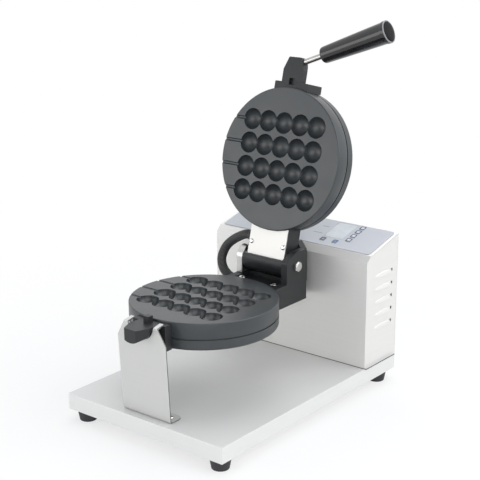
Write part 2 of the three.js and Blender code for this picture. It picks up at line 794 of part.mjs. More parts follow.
function handleGrip() {
  const bore = rodRadius + fitGap;
  const capRadius = gripThickRadius - gripCapWall;
  const end = rodExposed + gripLength;
  return alongHandle([
    [bore, rodExposed],
    [gripThinRadius - gripRound, rodExposed],
    [gripThinRadius - gripRound / 4, rodExposed + gripRound / 3],
    [gripThinRadius, rodExposed + gripRound],
    [gripThickRadius - gripCapWall / 2, end - gripCapRecess],
    [gripThickRadius, end - gripCapRecess + gripCapWall / 2],
    [gripThickRadius, end - gripCapWall / 2],
    [capRadius + gripCapWall / 2, end],
    [capRadius, end],
    [capRadius, end - gripCapRecess],
    [bore, end - gripCapRecess],
    [bore, rodExposed],
  ], shaftSides);
}

function gripCap() {
  const radius = gripThickRadius - gripCapWall - fitGap;
  const end = rodExposed + gripLength;
  const dome = gripCapDomeRadiusShares.map((radiusShare, index) => [
    radiusShare * radius, end + gripCapDomeHeightShares[index] * gripCapDome]);
  return alongHandle([
    [0, end - gripCapRecess + fitGap],
    [radius, end - gripCapRecess + fitGap],
    [radius, end],
    ...dome,
    [0, end + gripCapDome],
  ], shaftSides);
}

// Lid neck: a trough from the rim to the hinge knuckle, closed by a plate on its inner face
function neckScrewPlaces() {
  const across = neckHalfWidth - neckWall / 2 - neckScrewRadius;
  const y = neckPlateEndY - neckScrewSetback;
  return [[-across, y], [across, y]];
}

function lidNeck() {
  const startY = panCentreY + panRadius / 2;
  const bodyBackZ = Math.min(hingeZ + knuckleRadius, 2 * flipAxisHeight - panBottomZ);
  const beam = block(-neckHalfWidth, neckHalfWidth, startY, hingeY, neckInnerZ, bodyBackZ);
  const knuckle = barX(knuckleRadius, -knuckleHalfWidth, knuckleHalfWidth, hingeY, hingeZ, notchSides);
  const shelf = block(-knuckleHalfWidth - cutOverrun, knuckleHalfWidth + cutOverrun, startY,
    neckPlateEndY + fitGap, hingeZ - knuckleRadius - cutOverrun, neckInnerZ);
  const pocket = block(-neckHalfWidth + neckWall, neckHalfWidth - neckWall, startY - cutOverrun,
    neckPocketEndY, neckInnerZ - cutOverrun, neckInnerZ + neckPocketDepth);
  const rim = barZ(rimGapRadius, neckInnerZ - cutOverrun, bodyBackZ + cutOverrun, 0, panCentreY, discSides);
  const pin = barX(pinRadius + fitGap, -knuckleHalfWidth - cutOverrun, knuckleHalfWidth + cutOverrun,
    hingeY, hingeZ, boreSides);
  const screwHoles = neckScrewPlaces().map(([x, y]) => barZ(neckScrewRadius + fitGap,
    neckInnerZ - cutOverrun, neckPlateZ + neckScrewBite, x, y, boltSides));
  const glandHole = barX(glandSpigotRadius + fitGap, -neckHalfWidth - cutOverrun,
    -neckHalfWidth + neckWall + cutOverrun, lidGlandY, lidGlandZ, boreSides);
  return cut(join(beam, knuckle), shelf, pocket, rim, pin, glandHole, ...screwHoles);
}

function neckCoverPlate() {
  const half = neckHalfWidth - fitGap;
  const topZ = neckPlateZ + neckPlateSheet;
  const plate = block(-half, half, panCentreY + panRadius / 2, neckPlateEndY, neckPlateZ, topZ);
  const rim = barZ(rimGapRadius, neckPlateZ - cutOverrun, topZ + cutOverrun, 0, panCentreY, discSides);
  const holes = neckScrewPlaces().map(([x, y]) => barZ(neckScrewRadius + fitGap,
    neckPlateZ - cutOverrun, topZ + cutOverrun, x, y, boltSides));
  return cut(plate, rim, ...holes);
}

function neckScrew(x, y) {
  const upright = screw(x, y, 0, neckScrewHeadRadius, neckScrewHeadHeight, neckScrewRadius, neckScrewBite);
  return geometryOf(solidOf(upright).mirror([0, 0, 1]).translate([0, 0, neckPlateZ - fitGap]));
}

// Lower yoke: the lower pan's neck, a tall right cheek, and the wall that stops the lid and holds the shaft
function yokeScrewPlaces() {
  const across = yokeTrayHalfWidth - yokeScrewEdgeGap - yokeScrewHeadRadius;
  const y = panRearY + yokeScrewSetback;
  return [[-across, y], [across, y]];
}

function yokeNeck() {
  const startY = panCentreY + panRadius / 2;
  const rearY = hingeY + cheekRearReach;
  const body = prismZ([
    [-yokeHalfWidth, startY],
    [yokeHalfWidth, startY],
    [yokeHalfWidth, rearY, yokeCorner],
    [-yokeHalfWidth, rearY, yokeCorner],
  ], panBottomZ, yokeTopZ);
  const recess = block(-yokeTrayHalfWidth, yokeTrayHalfWidth, panRearY + trayFrontWall, hingeY,
    yokeTopZ - trayRecess, yokeTopZ + cutOverrun);
  const screwHoles = yokeScrewPlaces().map(([x, y]) => barZ(yokeScrewRadius + fitGap,
    yokeTopZ - trayRecess - yokeScrewBite, yokeTopZ, x, y, boltSides));
  return cut(body, recess, ...screwHoles);
}

function yokeCheek() {
  const rearTopZ = hingeZ + cheekRearRise;
  return prismX([
    [hingeY - cheekFrontReach, yokeTopZ - trayRecess],
    [hingeY + cheekRearReach, yokeTopZ - trayRecess],
    [hingeY + cheekRearReach, rearTopZ, cheekRound],
    [hingeY, rearTopZ, cheekRound],
    [hingeY - cheekFrontReach, hingeZ + cheekFrontRise, cheekRound],
  ], cheekInnerX, yokeHalfWidth);
}

function stopWall() {
  const cornerZ = stopTopZ - stopCornerDown;
  const topHalfWidth = stopHalfWidth - stopCornerAcross;
  const wall = prismY([
    [-stopHalfWidth, panBottomZ],
    [stopHalfWidth, panBottomZ],
    [stopHalfWidth, cornerZ],
    [topHalfWidth, stopTopZ],
    [-topHalfWidth, stopTopZ],
    [-stopHalfWidth, cornerZ],
  ], hingeY, yokeRearY);
  const neckBack = knuckleRadius + fitGap;
  const openNeck = block(-yokeHalfWidth, yokeHalfWidth, -panRadius, 0, -neckBack, neckBack)
    .rotateX(-openAngle)
    .translate(0, hingeY, hingeZ);
  const knuckleRelief = barX(knuckleRadius + knuckleFloorGap, -yokeHalfWidth, yokeHalfWidth, hingeY, hingeZ,
    notchSides);
  const earSpace = block(-yokeHalfWidth, -cheekInnerX + fitGap, hingeY - cutOverrun,
    hingeY + earHalfDepth + fitGap, yokeTopZ, stopTopZ);
  return cut(wall, openNeck, knuckleRelief, earSpace);
}

function lowerYoke() {
  const rim = barZ(rimGapRadius, panBottomZ - cutOverrun, yokeTopZ + cutOverrun, 0, panCentreY, discSides);
  const pin = barX(pinRadius + fitGap, cheekInnerX - cutOverrun, yokeHalfWidth + cutOverrun, hingeY, hingeZ,
    boreSides);
  const shaftBore = barY(shaftBoreRadius, yokeRearY - shaftBoreDepth, yokeRearY + cutOverrun,
    0, flipAxisHeight, boreSides);
  const glandHole = barX(glandSpigotRadius + fitGap, -yokeHalfWidth - cutOverrun,
    -yokeHalfWidth + glandSpigotLength + fitGap, yokeGlandY, yokeGlandZ, boreSides);
  return cut(join(yokeNeck(), yokeCheek(), stopWall()), rim, pin, shaftBore, glandHole);
}

function yokeScrew(x, y) {
  const seat = yokeTopZ - trayRecess + fitGap;
  return screw(x, y, seat, yokeScrewHeadRadius, yokeScrewHeadHeight, yokeScrewRadius, yokeScrewBite);
}

// Left hinge ear: a polished plate with a round head, seated on the yoke
function hingeEar() {
  const foot = yokeTopZ + fitGap;
  const plate = block(-yokeHalfWidth, -cheekInnerX, hingeY - earHalfDepth, hingeY + earHalfDepth,
    foot, hingeZ);
  const head = barX(earHalfDepth, -yokeHalfWidth, -cheekInnerX, hingeY, hingeZ);
  const pin = barX(pinRadius + fitGap, -yokeHalfWidth - cutOverrun, -cheekInnerX + cutOverrun, hingeY, hingeZ,
    boreSides);
  return cut(join(plate, head), pin);
}

// Hinge pin, with its head outside the right cheek and its nut outside the left ear
function hingePin() {
  const outer = yokeHalfWidth + fitGap;
  const head = barX(pinHeadRadius, outer, outer + pinHeadHeight, hingeY, hingeZ, nutSides);
  const crown = barX(pinCrownRadius, outer, outer + pinCrownHeight, hingeY, hingeZ, boreSides);
  const shank = barX(pinRadius, -outer - pinNutHeight, outer + cutOverrun, hingeY, hingeZ, boreSides);
  return join(shank, head, crown);
}

function hingePinNut() {
  const face = -yokeHalfWidth - fitGap;
  const nut = barX(pinHeadRadius, face - pinNutHeight, face, hingeY, hingeZ, nutSides);
  const bore = barX(pinRadius + fitGap, face - pinNutHeight - cutOverrun, face + cutOverrun,
    hingeY, hingeZ, boreSides);
  return cut(nut, bore);
}

function hingeWasher() {
  const face = knuckleHalfWidth + fitGap;
  const ring = barX(washerRadius, face, face + washerThickness, hingeY, hingeZ, boreSides);
  const bore = barX(pinRadius + fitGap, face - cutOverrun, face + washerThickness + cutOverrun,
    hingeY, hingeZ, boreSides);
  return cut(ring, bore);
}

// Flip shaft: a flange on the yoke and a hollow journal that turns in a bearing in the housing's front
function ringAboutFlipAxis(outer, inner, y0, y1) {
  return cut(barY(outer, y0, y1, 0, flipAxisHeight),
    barY(inner, y0 - cutOverrun, y1 + cutOverrun, 0, flipAxisHeight));
}

function flipShaft() {
  const flangeEndY = shaftFlangeY + shaftFlangeThickness;
  const flange = barY(shaftFlangeRadius, shaftFlangeY, flangeEndY, 0, flipAxisHeight);
  const journal = barY(shaftRadius, shaftFlangeY, journalEndY, 0, flipAxisHeight);
  return cut(join(flange, journal),
    barY(shaftBoreRadius, shaftFlangeY - cutOverrun, journalEndY + cutOverrun, 0, flipAxisHeight, boreSides));
}

function shaftBearing() {
  const flangeEndY = bearingFaceY + bearingFlangeThickness;
  const flange = barY(bearingFlangeRadius, bearingFaceY, flangeEndY, 0, flipAxisHeight);
  const sleeve = barY(bearingSleeveRadius, bearingFaceY, sleeveEndY, 0, flipAxisHeight);
  const bore = barY(shaftRadius + fitGap, bearingFaceY - cutOverrun, sleeveEndY + cutOverrun,
    0, flipAxisHeight);
  return cut(join(flange, sleeve), bore);
}

// Housing: the closed box's side outline in (y, z), from which the folded sheets are cut
function housingOutline(footZ, topTrim = 0) {
  const trim = topTrim / topSlopeCosine;
  return [
    [housingFrontY, footZ],
    [baseDepth, footZ],
    [baseDepth, housingRearHeight - trim],
    [bevelTopY, bevelTopZ - trim],
    [housingFrontY, housingFrontHeight],
  ];
}

// Pressed louvres on the right wall: each a quarter of an ellipsoid, open along its lower edge
function louvres(bulge, length, rise) {
  const y = housingFrontY + louvreSetback + louvreLength / 2;
  const x = (baseWidth - housingSheet) / 2;
  return Array.from({ length: louvresPerSide }, (_, step) => {
    const swell = new THREE.SphereGeometry(1, louvreSides, louvreRings).scale(bulge, length / 2, rise);
    const upperHalf = block(-bulge, bulge, -length, length, 0, 2 * rise);
    return common(swell, upperHalf).translate(x, y, louvreLowest + step * louvrePitch);
  });
}

function housingShell() {
  const half = baseWidth / 2;
  const outer = prismX(housingOutline(fitGap), -half, half);
  const inside = inward(housingOutline(-cutOverrun), housingSheet);
  const inner = prismX(inside, -half + housingSheet, half - housingSheet);
  const panelTrim = (housingSheet + fitGap) / topSlopeCosine;
  const roofCut = prismX([
    [bevelTopY, bevelTopZ - panelTrim],
    [baseDepth, housingRearHeight - panelTrim],
    [baseDepth, housingRearHeight + housingBevelRise],
    [bevelTopY, bevelTopZ + housingBevelRise],
  ], -half - cutOverrun, half + cutOverrun);
  const rearCut = block(-half - cutOverrun, half + cutOverrun, baseDepth - housingSheet - fitGap,
    baseDepth + cutOverrun, 0, housingRearHeight + cutOverrun);
  const bearingHole = barY(bearingSleeveRadius + fitGap, housingFrontY - cutOverrun,
    housingFrontY + housingSheet + cutOverrun, 0, flipAxisHeight);
  const rearFlange = block(half - housingSheet - housingFlange, half - housingSheet / 2, rearFlangeY,
    rearFlangeY + housingSheet, fitGap, housingFrontHeight);
  const footFlange = block(half - housingSheet - housingFlange, half - housingSheet / 2,
    housingFrontY + housingSheet / 2, rearFlangeY + housingSheet / 2, fitGap, fitGap + housingSheet);
  const hoods = louvres(louvreBulge + housingSheet / 2, louvreLength, louvreRise);
  const throats = louvres(louvreBulge - housingSheet / 2, louvreLength - 2 * housingSheet,
    louvreRise - housingSheet);
  const fittings = [rearFlange, footFlange, ...hoods];
  const box = join(cut(outer, inner), ...fittings, ...fittings.map(mirrorX));
  const screwHoles = rearScrewPlaces().map(([x, z]) => barY(rearScrewRadius, rearFlangeY - cutOverrun,
    baseDepth, x, z, boltSides));
  return cut(box, roofCut, rearCut, bearingHole, ...throats, ...throats.map(mirrorX), ...screwHoles);
}

function rearScrewPlaces() {
  const across = baseWidth / 2 - housingSheet - housingFlange / 2;
  const high = housingFrontHeight - housingFlange;
  return [[-across, housingFlange], [across, housingFlange], [-across, high], [across, high]];
}

function rearCover() {
  const half = baseWidth / 2;
  const slab = prismX(housingOutline(fitGap, housingSheet + fitGap), -half, half);
  const sheet = common(slab, block(-half, half, baseDepth - housingSheet, baseDepth, 0, housingRearHeight));
  const screwHoles = rearScrewPlaces().map(([x, z]) => barY(rearScrewRadius + fitGap,
    baseDepth - housingSheet - cutOverrun, baseDepth + cutOverrun, x, z, boltSides));
  const glandHole = barY(cableGlandBody + fitGap, baseDepth - housingSheet - cutOverrun,
    baseDepth + cutOverrun, cableGlandX, cableGlandHeight, boreSides);
  return cut(sheet, glandHole, ...screwHoles);
}

// Cable gland in the rear cover: a hexagonal flange outside and its nut inside
const cableGlandX = cableGlandPlaceShare * baseWidth;

function glandBar(radius, y0, y1, sides) {
  return barY(radius, y0, y1, cableGlandX, cableGlandHeight, sides);
}

function cableGland() {
  const seatY = baseDepth + fitGap;
  const insideY = baseDepth - housingSheet - cableGlandInside;
  const outsideY = seatY + cableGlandReach;
  const flange = glandBar(cableGlandNut, seatY, seatY + cableGlandFlange, nutSides);
  const snout = glandBar(cableGlandBody, insideY, outsideY, boreSides);
  const bore = glandBar(cableGlandBore, insideY - cutOverrun, outsideY + cutOverrun, boreSides);
  return cut(join(flange, snout), bore);
}

function cableGlandNutRing() {
  const faceY = baseDepth - housingSheet - fitGap;
  const endY = faceY - cableGlandFlange;
  const bore = glandBar(cableGlandBody + fitGap, endY - cutOverrun, faceY + cutOverrun, boreSides);
  return cut(glandBar(cableGlandNut, endY, faceY, nutSides), bore);
}

// Sloped top, drawn flat in its own group: local Y runs up the slope and local Z stands on its outer face
const slopeLength = (baseDepth - bevelTopY) / topSlopeCosine - housingSheet * topSlope;
const boardWidth = baseWidth - 2 * boardSideMargin;
const overlayWidth = baseWidth - 2 * overlaySideMargin;
const overlayLength = slopeLength - 2 * overlayEdgeMargin;
const windowLength = overlayLength - windowFrontMargin - windowRearMargin;
const windowSetback = windowFrontMargin + windowLength / 2;
const keySide = (overlayLength - keyFrontMargin - keyRearMargin - (keyCount - 1) * keyGap) / keyCount;

// A pad of the slope, centred at a share of the film's width and a length from its front edge
function padAt(acrossShare, setback, width, length, z0, z1, radius = 0) {
  const x = acrossShare * overlayWidth;
  const y = overlayEdgeMargin + setback;
  return prismZ(rectangle(x - width / 2, x + width / 2, y - length / 2, y + length / 2, radius), z0, z1);
}

function standoffPlaces() {
  const across = boardWidth / 2 - 2 * standoffRadius;
  const front = boardFrontSetback + 2 * standoffRadius;
  const rear = slopeLength - boardRearSetback - 2 * standoffRadius;
  return [[-across, front], [across, front], [-across, rear], [across, rear]];
}

function topPanel() {
  const half = baseWidth / 2;
  const sheet = block(-half, half, fitGap, slopeLength, -housingSheet, 0);
  const lipOuter = half - housingSheet - fitGap;
  const lip = block(lipOuter - housingSheet, lipOuter, panelLipSetback, slopeLength - panelLipSetback,
    -panelLip, -housingSheet / 2);
  const standoffs = standoffPlaces().map(([x, y]) => barZ(standoffRadius, -housingSheet - boardDrop + fitGap,
    -housingSheet / 2, x, y, nutSides));
  const windowHole = padAt(windowPlaceShare, windowSetback, windowWidth, windowLength,
    -housingSheet - cutOverrun, cutOverrun);
  return cut(join(sheet, lip, mirrorX(lip), ...standoffs), windowHole);
}

function controlOverlay() {
  const half = overlayWidth / 2;
  const filmTop = fitGap + overlaySheet;
  const endY = slopeLength - overlayEdgeMargin;
  const film = prismZ(rectangle(-half, half, overlayEdgeMargin, endY, overlayCorner), fitGap, filmTop);
  const key = (acrossShare, setback) =>
    padAt(acrossShare, setback, keySide, keySide, filmTop - overlaySheet / 2, filmTop + keyRise, keyCorner);
  const keyColumn = Array.from({ length: keyCount }, (_, step) =>
    key(keyColumnPlaceShare, keyFrontMargin + keySide / 2 + step * (keySide + keyGap)));
  const loneKeys = [key(darkKeyPlaceShare, darkKeySetback), key(blueKeyPlaceShare, blueKeySetback)];
  const windowHole = padAt(windowPlaceShare, windowSetback, windowWidth, windowLength, 0,
    filmTop + cutOverrun);
  return cut(join(film, ...loneKeys, ...keyColumn), windowHole);
}

function displayWindow() {
  return padAt(windowPlaceShare, windowSetback, windowWidth - 2 * fitGap, windowLength - 2 * fitGap,
    -housingSheet, fitGap + overlaySheet);
}

function displayModule() {
  return padAt(windowPlaceShare, windowSetback, windowWidth + displayFrame, windowLength - displayFrame,
    -housingSheet - boardDrop + fitGap, -housingSheet - fitGap);
}

function controlBoard() {
  const topZ = -housingSheet - boardDrop;
  return block(-boardWidth / 2, boardWidth / 2, boardFrontSetback, slopeLength - boardRearSetback,
    topZ - boardThickness, topZ);
}

// Pieces that stand on the tray inside the housing
function terminalBlock() {
  const x = terminalPlaceShare * baseWidth;
  const topZ = fitGap + terminalHeight;
  const body = block(x - terminalWidth / 2, x + terminalWidth / 2,
    contentsRearY - terminalDepth, contentsRearY, fitGap, topZ);
  const pitch = terminalWidth / terminalWells;
  const wells = Array.from({ length: terminalWells }, (_, step) => barZ(terminalWellRadius,
    topZ - terminalWellDepth, topZ + cutOverrun, x + (step - (terminalWells - 1) / 2) * pitch,
    contentsRearY - terminalDepth / 2, boltSides));
  return cut(body, ...wells);
}

function transformer() {
  const x = transformerPlaceShare * baseWidth;
  const middleY = contentsRearY - windingDepth / 2;
  const core = block(x - coreWidth / 2, x + coreWidth / 2, middleY - coreDepth / 2, middleY + coreDepth / 2,
    fitGap, fitGap + coreHeight);
  const windingZ = fitGap + (coreHeight - windingHeight) / 2;
  const winding = block(x - windingWidth / 2, x + windingWidth / 2, middleY - windingDepth / 2,
    middleY + windingDepth / 2, windingZ, windingZ + windingHeight);
  return join(core, winding);
}

// Inner loom, from the hollow shaft's end down to the terminal block
function innerLoom() {
  const endX = terminalPlaceShare * baseWidth;
  const endY = contentsRearY - terminalDepth / 2;
  const endZ = terminalHeight + 2 * fitGap;
  return tubeAlong([
    new THREE.Vector3(0, journalEndY - collarWidth, flipAxisHeight),
    new THREE.Vector3(0, journalEndY, flipAxisHeight),
    new THREE.Vector3(endX / 5, journalEndY + 3 * loomRadius, flipAxisHeight - 5 * loomRadius),
    new THREE.Vector3(endX * 3 / 5, endY, flipAxisHeight / 2),
    new THREE.Vector3(endX, endY, endZ + 8 * loomRadius),
    new THREE.Vector3(endX, endY, endZ),
  ], loomRadius, tubeSides, loomSteps);
}

// Glands of the flexible conduit, on a left-hand wall that faces -X at faceX
function conduitGland(faceX, y, z) {
  const seatX = faceX - fitGap;
  const nut = barX(glandRadius, seatX - glandLength, seatX, y, z, nutSides);
  const spigot = barX(glandSpigotRadius, seatX - cutOverrun, faceX + glandSpigotLength, y, z, boreSides);
  const bore = barX(glandBoreRadius, seatX - glandLength - cutOverrun,
    faceX + glandSpigotLength + cutOverrun, y, z, boltSides);
  return cut(join(nut, spigot), bore);
}

// A point of the closed lid, carried to its place when the lid stands open
function opened(point) {
  const hinge = new THREE.Vector3(0, hingeY, hingeZ);
  return point.sub(hinge).applyAxisAngle(new THREE.Vector3(1, 0, 0), -openAngle).add(hinge);
}

// The conduit loops out to the left between the open lid's gland and the yoke's
function conduit() {
  const start = opened(new THREE.Vector3(-neckHalfWidth - 2 * fitGap - glandLength, lidGlandY, lidGlandZ));
  const end = new THREE.Vector3(-yokeHalfWidth - 2 * fitGap - glandLength, yokeGlandY, yokeGlandZ);
  const from = (point, x, y, z) =>
    point.clone().add(new THREE.Vector3(x, y, z).multiplyScalar(conduitRadius));
  return tubeAlong([
    start,
    from(start, -1, 0, 0),
    from(start, -2.6, 0.15, -0.65),
    from(start, -4.6, 0.15, -1.8),
    from(start, -6.2, -0.25, -3.3),
    from(end, -4.7, 0.65, 5.3),
    from(end, -4.7, 0.05, 3.7),
    from(end, -4, -0.25, 2.05),
    from(end, -2.7, -0.2, 0.75),
    from(end, -1, 0, 0),
    end,
  ], conduitRadius, conduitSides, conduitSteps);
}

// The scene graph: what turns with the pans, and within it what turns with the lid
const machine = new THREE.Group();
const slopeGroup = new THREE.Group();
const flipGroup = new THREE.Group();
const lidGroup = new THREE.Group();

function place(parent, name, geometry, material) {
  const mesh = new THREE.Mesh(geometry, material);
  mesh.name = name;
  parent.add(mesh);
}

function placePair(parent, name, places, make, material) {
  ["left", "right"].forEach((side, index) => {
    place(parent, `${name}_${side}`, make(...places[index]), material);
  });
}

// Stand
place(machine, "base_tray", baseTray(), brushedSteel);
["front_left", "front_right", "rear_left", "rear_right"].forEach((corner, index) => {
  place(machine, `foot_${corner}`, foot(...footPlaces()[index]), blackRubber);
  place(machine, `foot_screw_${corner}`, footScrew(...footPlaces()[index]), zincSteel);
});
place(machine, "cradle_bracket", cradleBracket(), brushedSteel);
placePair(machine, "cradle_screw", cradleScrewPlaces(), cradleScrew, zincSteel);

// Housing and what it holds
place(machine, "housing_shell", housingShell(), brushedSteel);
place(machine, "rear_cover", rearCover(), brushedSteel);
place(machine, "cable_gland", cableGland(), blackPlastic);
place(machine, "cable_gland_nut", cableGlandNutRing(), blackPlastic);
place(machine, "terminal_block", terminalBlock(), insulator);
place(machine, "transformer", transformer(), varnishedCore);
place(machine, "inner_loom", innerLoom(), blackRubber);
place(machine, "shaft_bearing", shaftBearing(), bronze);
place(machine, "friction_washer", ringAboutFlipAxis(collarRadius, shaftRadius + fitGap, frictionWasherY,
  frictionWasherY + frictionWasherThickness), bronze);

// Sloped control panel
slopeGroup.position.set(0, bevelTopY, bevelTopZ);
slopeGroup.rotation.x = degrees(topSlopeDegrees);
machine.add(slopeGroup);
place(slopeGroup, "top_panel", topPanel(), brushedSteel);
place(slopeGroup, "control_overlay", controlOverlay(), membraneFilm);
place(slopeGroup, "display_window", displayWindow(), clearLens);
place(slopeGroup, "display_module", displayModule(), circuitBoard);
place(slopeGroup, "control_board", controlBoard(), circuitBoard);

// Lower pan, yoke and shaft
machine.add(flipGroup);
place(flipGroup, "lower_mould_plate", mouldPlate(), castCoating);
place(flipGroup, "lower_heater_cover", heaterCover(), castCoating);
place(flipGroup, "lower_heating_element", heatingElement(), elementAlloy);
place(flipGroup, "lower_element_clamp", elementClamp(), zincSteel);
place(flipGroup, "lower_front_lug", lowerLug(), castCoating);
place(flipGroup, "lower_yoke", lowerYoke(), castCoating);
placePair(flipGroup, "yoke_screw", yokeScrewPlaces(), yokeScrew, polishedSteel);
place(flipGroup, "left_hinge_ear", hingeEar(), polishedSteel);
place(flipGroup, "hinge_pin", hingePin(), polishedSteel);
place(flipGroup, "hinge_pin_nut", hingePinNut(), zincSteel);
place(flipGroup, "hinge_washer_left", mirrorX(hingeWasher()), polishedSteel);
place(flipGroup, "hinge_washer_right", hingeWasher(), polishedSteel);
place(flipGroup, "flip_shaft", flipShaft(), zincSteel);
place(flipGroup, "shaft_collar", ringAboutFlipAxis(collarRadius, shaftRadius + fitGap, collarY,
  collarY + collarWidth), zincSteel);
place(flipGroup, "yoke_conduit_gland", conduitGland(-yokeHalfWidth, yokeGlandY, yokeGlandZ), blackPlastic);
place(flipGroup, "flexible_conduit", conduit(), blackRubber);

// Lid, drawn closed and then opened about the hinge pin
lidGroup.position.set(0, hingeY, hingeZ);
lidGroup.rotation.x = -openAngle;
flipGroup.add(lidGroup);
const closedLid = new THREE.Group();
closedLid.position.set(0, -hingeY, -hingeZ);
lidGroup.add(closedLid);
place(closedLid, "upper_mould_plate", overMate(mouldPlate()), castCoating);
place(closedLid, "upper_heater_cover", overMate(heaterCover()), castCoating);
place(closedLid, "upper_heating_element", overMate(heatingElement()), elementAlloy);
place(closedLid, "upper_element_clamp", overMate(elementClamp()), zincSteel);
place(closedLid, "upper_front_lug", upperLug(), castCoating);
place(closedLid, "lid_neck", lidNeck(), castCoating);
place(closedLid, "neck_cover_plate", neckCoverPlate(), polishedSteel);
placePair(closedLid, "neck_plate_screw", neckScrewPlaces(), neckScrew, zincSteel);
place(closedLid, "lid_conduit_gland", conduitGland(-neckHalfWidth, lidGlandY, lidGlandZ), blackPlastic);
place(closedLid, "handle_rod", handleRod(), polishedSteel);
place(closedLid, "handle_grip", handleGrip(), blackPlastic);
place(closedLid, "grip_end_cap", gripCap(), blackPlastic);

// The origin is the middle of the whole machine's footprint, on the floor
const waffleStickMaker = new THREE.Group();
waffleStickMaker.add(machine);
waffleStickMaker.updateMatrixWorld(true);
const extent = new THREE.Box3().setFromObject(waffleStickMaker, true);
machine.position.set(-(extent.min.x + extent.max.x) / 2, -(extent.min.y + extent.max.y) / 2, -extent.min.z);

export default waffleStickMaker;
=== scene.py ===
"""Looks of the waffle stick maker: every solid of the frame gets its finished form and material."""
import json
from collections import namedtuple
from math import acos, asin, cos, pi, radians, sin, sqrt, tan

import bmesh
import bpy
from mathutils import Matrix, Vector


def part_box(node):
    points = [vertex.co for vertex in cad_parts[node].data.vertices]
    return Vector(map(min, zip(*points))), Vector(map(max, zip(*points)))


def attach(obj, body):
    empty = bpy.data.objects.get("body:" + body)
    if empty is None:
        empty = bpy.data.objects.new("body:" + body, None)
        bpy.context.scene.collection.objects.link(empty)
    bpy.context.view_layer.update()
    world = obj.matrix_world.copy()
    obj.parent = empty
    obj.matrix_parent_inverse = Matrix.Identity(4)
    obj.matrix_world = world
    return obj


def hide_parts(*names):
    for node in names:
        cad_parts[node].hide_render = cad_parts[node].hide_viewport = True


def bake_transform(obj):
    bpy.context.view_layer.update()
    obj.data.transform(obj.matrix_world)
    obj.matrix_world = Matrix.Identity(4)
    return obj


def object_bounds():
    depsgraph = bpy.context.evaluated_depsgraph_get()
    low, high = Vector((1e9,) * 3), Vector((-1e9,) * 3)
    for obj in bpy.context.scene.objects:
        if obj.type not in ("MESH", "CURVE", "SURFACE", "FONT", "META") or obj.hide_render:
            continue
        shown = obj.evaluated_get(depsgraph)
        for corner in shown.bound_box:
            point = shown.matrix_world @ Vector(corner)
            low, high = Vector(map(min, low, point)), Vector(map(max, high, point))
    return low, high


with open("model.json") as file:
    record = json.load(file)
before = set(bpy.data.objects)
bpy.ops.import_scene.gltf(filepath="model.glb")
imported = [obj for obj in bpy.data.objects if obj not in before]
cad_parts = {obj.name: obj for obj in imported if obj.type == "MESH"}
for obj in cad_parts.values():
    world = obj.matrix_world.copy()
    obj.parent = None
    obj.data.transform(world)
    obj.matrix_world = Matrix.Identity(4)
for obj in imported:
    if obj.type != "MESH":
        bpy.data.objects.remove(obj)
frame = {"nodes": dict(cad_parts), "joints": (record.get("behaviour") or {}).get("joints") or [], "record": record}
cad_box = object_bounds()
scene = bpy.context.scene
NODES = frame["nodes"]
BODY_OF = {node: body for body, nodes in frame["record"]["behaviour"]["bodies"].items() for node in nodes}
SLOT_OF = {entry["node"]: entry["material_slot"] for entry in frame["record"]["subparts"]}
JOINTS = {joint["name"]: joint for joint in frame["joints"]}
MM = 0.001

# Places taken from the frame, in metres
HINGE = Vector(JOINTS["lid_hinge"]["pos_m"])
OPEN_ANGLE = radians(JOINTS["lid_hinge"]["range_deg"][1])
FLIP_Z = JOINTS["pan_flip"]["pos_m"][2]
MID_X = HINGE.x
PAN_LOW, PAN_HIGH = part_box("lower_mould_plate")
PAN_RADIUS = (PAN_HIGH.x - PAN_LOW.x) / 2
PAN_CENTRE = Vector((MID_X, (PAN_LOW.y + PAN_HIGH.y) / 2, 0))
FACE_Z, BACK_Z = PAN_HIGH.z, PAN_LOW.z
TRAY_LOW, TRAY_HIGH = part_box("base_tray")
TRAY_FRONT = Vector((MID_X, TRAY_LOW.y, TRAY_HIGH.z))
PIN_LINE = Vector((0, HINGE.y, HINGE.z))
SHAFT_LINE = Vector((MID_X, 0, FLIP_Z))

# The lid is drawn shut, as the lower pan's mirror image, and then opened about the hinge pin
AS_DRAWN = Matrix.Identity(4)
OPEN_LID = Matrix.Translation(HINGE) @ Matrix.Rotation(-OPEN_ANGLE, 4, "X") @ Matrix.Translation(-HINGE)
OVER_MATE = OPEN_LID @ Matrix.Translation((0, 0, 2 * FLIP_Z)) @ Matrix.Diagonal((1, 1, -1, 1))

# Camera as fitted to the photo: turns in degrees, place in millimetres from the tray's front edge
CAMERA_TURN = (38.616, -17.279, 0.214)
CAMERA_PLACE = (920.09, -949.65, 612.45)
LENS = {"sensor_width": 36, "lens": 90.4646, "shift_x": -0.01345, "shift_y": 0.03366}

# Softboxes: place, point lit and size in metres, and power in watts
LAMPS = {
    "front_softbox": ((1.4, -1.7, 1), (0, 0, 0.15), (1.8, 1.5), 15),
    "low_softbox": ((-1, -1.7, 0.5), (0, 0, 0.22), (1.5, 0.9), 8),
    "side_softbox": ((2, 0.7, 1.65), (0, 0, 0.2), (2.2, 1.7), 29),
    "top_softbox": ((-0.3, 0.9, 2.1), (0, 0, 0.2), (1.8, 1.6), 15),
}

# What glossy faces mirror: shares of the way round to SKY_WAY, each with its brightness
SKY_WAY = (0, -0.8, 0.6)
SKY_LEVELS = ((0, 0.85), (0.28, 1), (0.5, 0.8), (0.74, 0.9), (0.86, 0.95), (0.94, 0.5), (1, 0.25))
SKY_STRENGTH, ROOM_STRENGTH, ROOM_TINT, WHITE = 1.25, 0.68, (0.9, 0.95, 1), (1, 1, 1)

# How much the floor glows near and far, and where near ends and far begins, in metres
GLOW = (0.66, 1, 0.2, 0.75)


